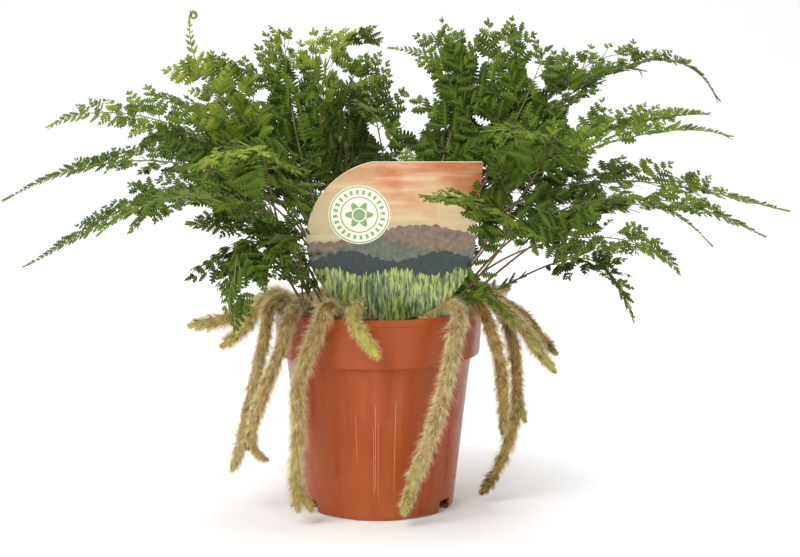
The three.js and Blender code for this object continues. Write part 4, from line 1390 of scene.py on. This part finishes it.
def growCrumbs(reach, rng):
    # uneven lumps strewn over the soil
    s = soilSettings
    ball, sides = crumbBall()
    count = s["crumbs"]
    radius = np.sqrt(rng.random(count)) * reach
    angle = rng.random(count) * 2 * math.pi
    x, y = radius * np.cos(angle), radius * np.sin(angle)
    size = rng.uniform(*s["crumbSize"], count) * rng.uniform(0.5, 1, count)
    centre = np.stack([x, y, s["level"] + soilHeight(x, y) + size * 0.15], axis=-1)
    lumps = rng.uniform(0.6, 1.2, (count, len(ball), 1))
    shape = ball[None] * lumps * rng.uniform(0.45, 1.0, (count, 1, 3))
    points = centre[:, None] + shape * size[:, None, None]
    triangles = sides[None] + np.arange(count)[:, None, None] * len(ball)
    uv = np.tile(np.array([(0, 0), (1, 0), (0.5, 1)], float), (count * len(sides), 1, 1))
    cells = np.repeat(np.arange(count), len(sides))
    return part(points.reshape(-1, 3), triangles.reshape(-1, 3), uv, cells)


def makeSoil():
    s, pot = soilSettings, potSettings
    rng = np.random.default_rng(s["seed"])
    shoulder = potHeight - pot["bandHeight"]
    share = (s["level"] - shoulder) / pot["bandHeight"]
    edge = blendRange(pot["bandFootRadius"], potRim, share) - s["edge"] - 0.2
    profile = [
        (0, pot["floor"] + 0.3),
        (pot["baseRadius"] - s["edge"] - 1.2, pot["floor"] + 0.3),
        (pot["shoulderRadius"] - s["edge"], shoulder + 0.1),
        (pot["bandFootRadius"] - s["edge"], shoulder + 2.2),
        (edge, s["level"] - 2),
    ]
    rings = 26  # of the top, closer together at its edge
    profile += [(edge * (1 - (i / rings) ** 1.4), s["level"]) for i in range(rings)] + [(0, s["level"])]
    soil = latheObject("pottingSoil", profile, s["sides"])
    for vertex in soil.data.vertices:
        if vertex.co.z / mm > s["level"] - 0.1:
            x, y = vertex.co.x / mm, vertex.co.y / mm
            vertex.co.z += (float(soilHeight(x, y)) + rng.normal(scale=s["grit"])) * mm
    soil.data.materials.append(makeSoilMaterial())
    onPot(soil, "potting_soil", "soil")
    crumbs = joinParts("soilCrumbs", [growCrumbs(edge - 1.5, rng)], [soil.data.materials[0]])
    onPot(crumbs, "potting_soil")


def makeSoilMaterial():
    s = soilSettings
    material, tree, shader = newMaterial("pottingSoil")
    mask, height = useMottle(tree, *s["blotches"])
    tree.links.new(mixColours(tree, mask, s["dark"], s["light"]), shader.inputs["Base Color"])
    shader.inputs["Roughness"].default_value = 0.95
    addBump(tree, shader, height, 0.8, 0.0008)
    return material


makeSoil()
print("soil filled in")


# Picture card

cardSettings = {
    "radius": 45.6,
    "top": 44.5,
    "corner": 49.0,
    "thickness": 0.8,
    "centre": (7.4, -49, 158.2),
    "lean": 12,
    "stakeWidth": 14.0,
    "stakeEnd": -92.0,
    "stakePoint": 14.0,
    "nick": 0.7,  # taken off the sharp corner
    "sky": [
        (0.30, (0.32, 0.35, 0.15)),
        (0.48, (0.38, 0.33, 0.18)),
        (0.66, (0.55, 0.39, 0.21)),
        (0.80, (0.52, 0.28, 0.13)),
        (1.0, (0.46, 0.13, 0.035)),
    ],
    "cloud": (0.86, 0.74, 0.55),
    "haze": (0.46, 0.43, 0.22),  # towards the left
    "hills": [
        # height of the line over the card's centre, swell, length of a swell, shift, colour
        (2.0, 5.0, 17.0, 0.6, (0.21, 0.15, 0.10)),
        (-5.0, 4.0, 11.0, 2.1, (0.13, 0.15, 0.11)),
        (-11.0, 3.0, 8.0, 4.4, (0.022, 0.040, 0.038)),
    ],
    "meadow": (-24.0, 2.0, 6.0, 1.0),
    "grass": [(0.34, (0.03, 0.06, 0.03)), (0.47, (0.14, 0.21, 0.09)), (0.62, (0.46, 0.50, 0.20))],
    "sunlitGrass": (0.42, 0.46, 0.08),
    "seal": (-17.0, 15.0, 16.5),  # its centre on the card and its radius
    "sealRings": [(0.93, 0.97), (0.58, 0.62), (0.0, 0.2)],  # shares of that radius
    "sealTicks": (24, 0.7, 0.85),
    "sealPetals": 6,
    "sealGreen": (0.20, 0.33, 0.13),
    "sealPale": (0.80, 0.78, 0.62),
    "stakeColour": (0.75, 0.72, 0.62),
    "back": ((0.66, 0.65, 0.60), (0.78, 0.77, 0.73)),
}


def cardOutline():
    s = cardSettings
    half = s["stakeWidth"] / 2
    shoulder = s["stakeEnd"] + s["stakePoint"]
    topLeft = math.pi - math.asin(s["top"] / s["radius"])
    join = math.asin(half / s["radius"])

    def arc(start, end, count):
        angles = np.linspace(start, end, count)
        return [(s["radius"] * math.cos(a), s["radius"] * math.sin(a)) for a in angles]

    points = [(s["corner"] - s["nick"], s["top"])]
    points += arc(topLeft, math.pi * 1.5 - join, 90)
    points += [(-half, shoulder), (-1, s["stakeEnd"]), (1, s["stakeEnd"]), (half, shoulder)]
    points += arc(math.pi * 1.5 + join, math.pi * 2, 50)
    points += [(s["corner"], s["top"] - s["nick"])]
    return points


def makeCard():
    s = cardSettings
    outline = cardOutline()
    mesh = bmesh.new()
    half = s["thickness"] / 2
    front = [mesh.verts.new((x, y, half)) for x, y in outline]
    back = [mesh.verts.new((x, y, -half)) for x, y in outline]
    mesh.faces.new(front)
    mesh.faces.new(back[::-1])
    for i in range(len(outline)):
        j = (i + 1) % len(outline)
        mesh.faces.new((front[j], front[i], back[i], back[j])).material_index = 1
    mesh.faces.ensure_lookup_table()
    mesh.faces[1].material_index = 1
    bmesh.ops.recalc_face_normals(mesh, faces=mesh.faces)
    places = [tuple(v.co) for v in mesh.verts]
    lean = math.radians(90 + s["lean"])
    cx, cy, cz = s["centre"]
    for v in mesh.verts:
        x, y, z = v.co
        v.co = (
            (x + cx) * mm,
            (y * math.cos(lean) - z * math.sin(lean) + cy) * mm,
            (y * math.sin(lean) + z * math.cos(lean) + cz) * mm,
        )
    data = bpy.data.meshes.new("pictureCard")
    mesh.to_mesh(data)
    mesh.free()
    spread = data.attributes.new("printPlace", "FLOAT_VECTOR", "POINT")
    spread.data.foreach_set("vector", np.array(places, np.float32).ravel())
    card = linkObject("pictureCard", data)
    data.materials.append(makePrintMaterial())
    data.materials.append(makeCardBackMaterial())
    onPot(card, "printed_card", "picture_card")


def ridge(tree, x, y, line, wobble):
    # 1 under a rolling line of hills, 0 over it
    base, height, width, shift = line
    wave = mathNode(tree, "SINE", scaled(tree, x, 1 / width, shift))
    edge = scaled(tree, wobble, 5.0, scaled(tree, wave, height, base))
    return levels(tree, mathNode(tree, "SUBTRACT", edge, y), 1.6, 0.5)


def insideMask(tree, distance, limit):
    # 1 inside a limit, 0 outside, with a soft edge
    return levels(tree, distance, -4.0, 4.0 * limit + 0.5)


def ringMask(tree, distance, inner, outer):
    return product(tree, levels(tree, distance, 4.0, -4.0 * inner + 0.5), insideMask(tree, distance, outer))


def printSeal(tree, x, y, colour):
    # a plain disc with rings, a circle of ticks and a flower
    s = cardSettings
    cx, cy, radius = s["seal"]
    dx, dy = mathNode(tree, "SUBTRACT", x, cx), mathNode(tree, "SUBTRACT", y, cy)
    distance = mathNode(tree, "ADD", product(tree, dx, dx), product(tree, dy, dy))
    distance = mathNode(tree, "SQRT", distance)
    colour = mixColours(tree, insideMask(tree, distance, radius), colour, s["sealPale"])
    for inner, outer in s["sealRings"]:
        ring = ringMask(tree, distance, inner * radius, outer * radius)
        colour = mixColours(tree, ring, colour, s["sealGreen"])
    turn = mathNode(tree, "ARCTAN2", dy, dx)
    count, inner, outer = s["sealTicks"]
    ticks = mathNode(tree, "GREATER_THAN", mathNode(tree, "SINE", product(tree, turn, count)), 0.2)
    ticks = product(tree, ticks, ringMask(tree, distance, inner * radius, outer * radius))
    colour = mixColours(tree, ticks, colour, s["sealGreen"])
    petals = mathNode(tree, "COSINE", product(tree, turn, s["sealPetals"]))
    petals = scaled(tree, petals, 0.1 * radius, 0.36 * radius)
    flower = levels(tree, mathNode(tree, "SUBTRACT", petals, distance), 4.0, 0.5)
    flower = product(tree, flower, mathNode(tree, "GREATER_THAN", distance, 0.24 * radius))
    return mixColours(tree, flower, colour, s["sealGreen"])


def makePrintMaterial():
    # a made-up landscape of dusk sky, hazy hills and meadow, with a plain ringed seal
    s = cardSettings
    material, tree, shader = newMaterial("cardPrint")
    place = addNode(tree, "ShaderNodeAttribute", attribute_name="printPlace").outputs["Vector"]
    split = addNode(tree, "ShaderNodeSeparateXYZ", {0: place})
    x, y = split.outputs["X"], split.outputs["Y"]
    cloud = noiseNode(tree, place, 0.05, 5.0)
    ragged = noiseNode(tree, place, 0.35, 6.0)
    rise = scaled(tree, mathNode(tree, "SUBTRACT", cloud, 0.5), 0.8, scaled(tree, y, 1 / 90, 0.5))
    streak = noiseNode(tree, stretchNode(tree, place, (0.12, 1.0, 1.0)), 0.22, 4.0)
    streak = product(tree, levels(tree, streak, 3.2, -1.55), 0.5)
    colour = mixColours(tree, streak, rampNode(tree, rise, s["sky"]), s["cloud"])
    colour = mixColours(tree, levels(tree, x, -0.014, -0.02), colour, s["haze"])
    for *line, paint in s["hills"]:
        shaded = mixColours(tree, levels(tree, ragged, 2.4, -0.8), paint, [v * 0.45 for v in paint])
        colour = mixColours(tree, ridge(tree, x, y, line, ragged), colour, shaded)
    blades = noiseNode(tree, stretchNode(tree, place, (1.0, 0.16, 1.0)), 0.9, 4.0, 0.6)
    grass = rampNode(tree, blades, s["grass"])
    grass = mixColours(tree, levels(tree, cloud, 3.0, -1.1), grass, s["sunlitGrass"], "SOFT_LIGHT")
    meadow = ridge(tree, x, y, s["meadow"], product(tree, blades, 2.4))
    colour = printSeal(tree, x, y, mixColours(tree, meadow, colour, grass))
    stake = mathNode(tree, "LESS_THAN", y, -47.0)
    colour = mixColours(tree, stake, colour, s["stakeColour"])
    tree.links.new(colour, shader.inputs["Base Color"])
    mask, height = useMottle(tree, 90, 1200, 1.0)
    tree.links.new(scaled(tree, mask, 0.15, 0.32), shader.inputs["Roughness"])
    addBump(tree, shader, height, 0.05, 0.0002)
    return material


def makeCardBackMaterial():
    material, tree, shader = newMaterial("cardBack")
    mask, height = useMottle(tree, 120, 1500, 1.0)
    tree.links.new(mixColours(tree, mask, *cardSettings["back"]), shader.inputs["Base Color"])
    shader.inputs["Roughness"].default_value = 0.5
    addBump(tree, shader, height, 0.05, 0.0002)
    return material


makeCard()
print("picture card set in the soil")


# Studio

studioSettings = {
    "floorDepth": 1.6,
    "floorFront": -9.0,
    "floorWidth": 9.0,
    "sweep": 0.9,  # radius of the curve up to the backdrop
    "backdrop": 3.0,
    "floorColour": (0.86, 0.86, 0.86),
    "skyLight": 0.32,
    "glow": 0.07,  # light that the floor and backdrop give themselves
    "lamps": [
        # name, place, aim, size, power
        ("keyPanel", (-1.1, -1.5, 1.7), (0, 0, 0.12), 1.5, 54),
        ("frontPanel", (0.5, -2.0, 0.9), (0, 0, 0.12), 1.6, 9),
        ("topPanel", (0.2, 0.5, 2.0), (0, 0, 0.1), 1.6, 44),
    ],
}


def makeStudio():
    s = studioSettings
    world = bpy.data.worlds.new("studio")
    bpy.context.scene.world = world
    world.use_nodes = True
    world.node_tree.nodes["Background"].inputs[0].default_value = (1, 1, 1, 1)
    world.node_tree.nodes["Background"].inputs[1].default_value = s["skyLight"]
    profile = [(s["floorFront"], 0.0), (s["floorDepth"], 0.0)]
    for a in np.linspace(0.1, math.pi / 2, 16):
        profile.append((s["floorDepth"] + s["sweep"] * math.sin(a), s["sweep"] * (1 - math.cos(a))))
    profile.append((s["floorDepth"] + s["sweep"], s["backdrop"]))
    points = [(x, y, z) for y, z in profile for x in (-s["floorWidth"], s["floorWidth"])]
    faces = [(2 * i, 2 * i + 1, 2 * i + 3, 2 * i + 2) for i in range(len(profile) - 1)]
    data = bpy.data.meshes.new("studioFloor")
    data.from_pydata(points, [], faces)
    data.shade_smooth()
    floor = linkObject("studioFloor", data)
    material, _, shader = newMaterial("studioFloor")
    shader.inputs["Base Color"].default_value = (*s["floorColour"], 1)
    shader.inputs["Roughness"].default_value = 0.9
    shader.inputs["Specular IOR Level"].default_value = 0.1
    shader.inputs["Emission Color"].default_value = (1, 1, 1, 1)
    shader.inputs["Emission Strength"].default_value = s["glow"]
    data.materials.append(material)
    for name, place, aim, size, power in s["lamps"]:
        light = bpy.data.lights.new(name, "AREA")
        light.shape = "SQUARE"
        light.size = size
        light.energy = power
        lamp = linkObject(name, light)
        lamp.location = place
        x, y, z = unit(np.array(aim) - np.array(place))
        lamp.rotation_euler = (math.acos(-z), 0, math.atan2(y, x) - math.pi / 2)
    bpy.context.scene.view_settings.view_transform = "Standard"


makeStudio()
print("studio lit")
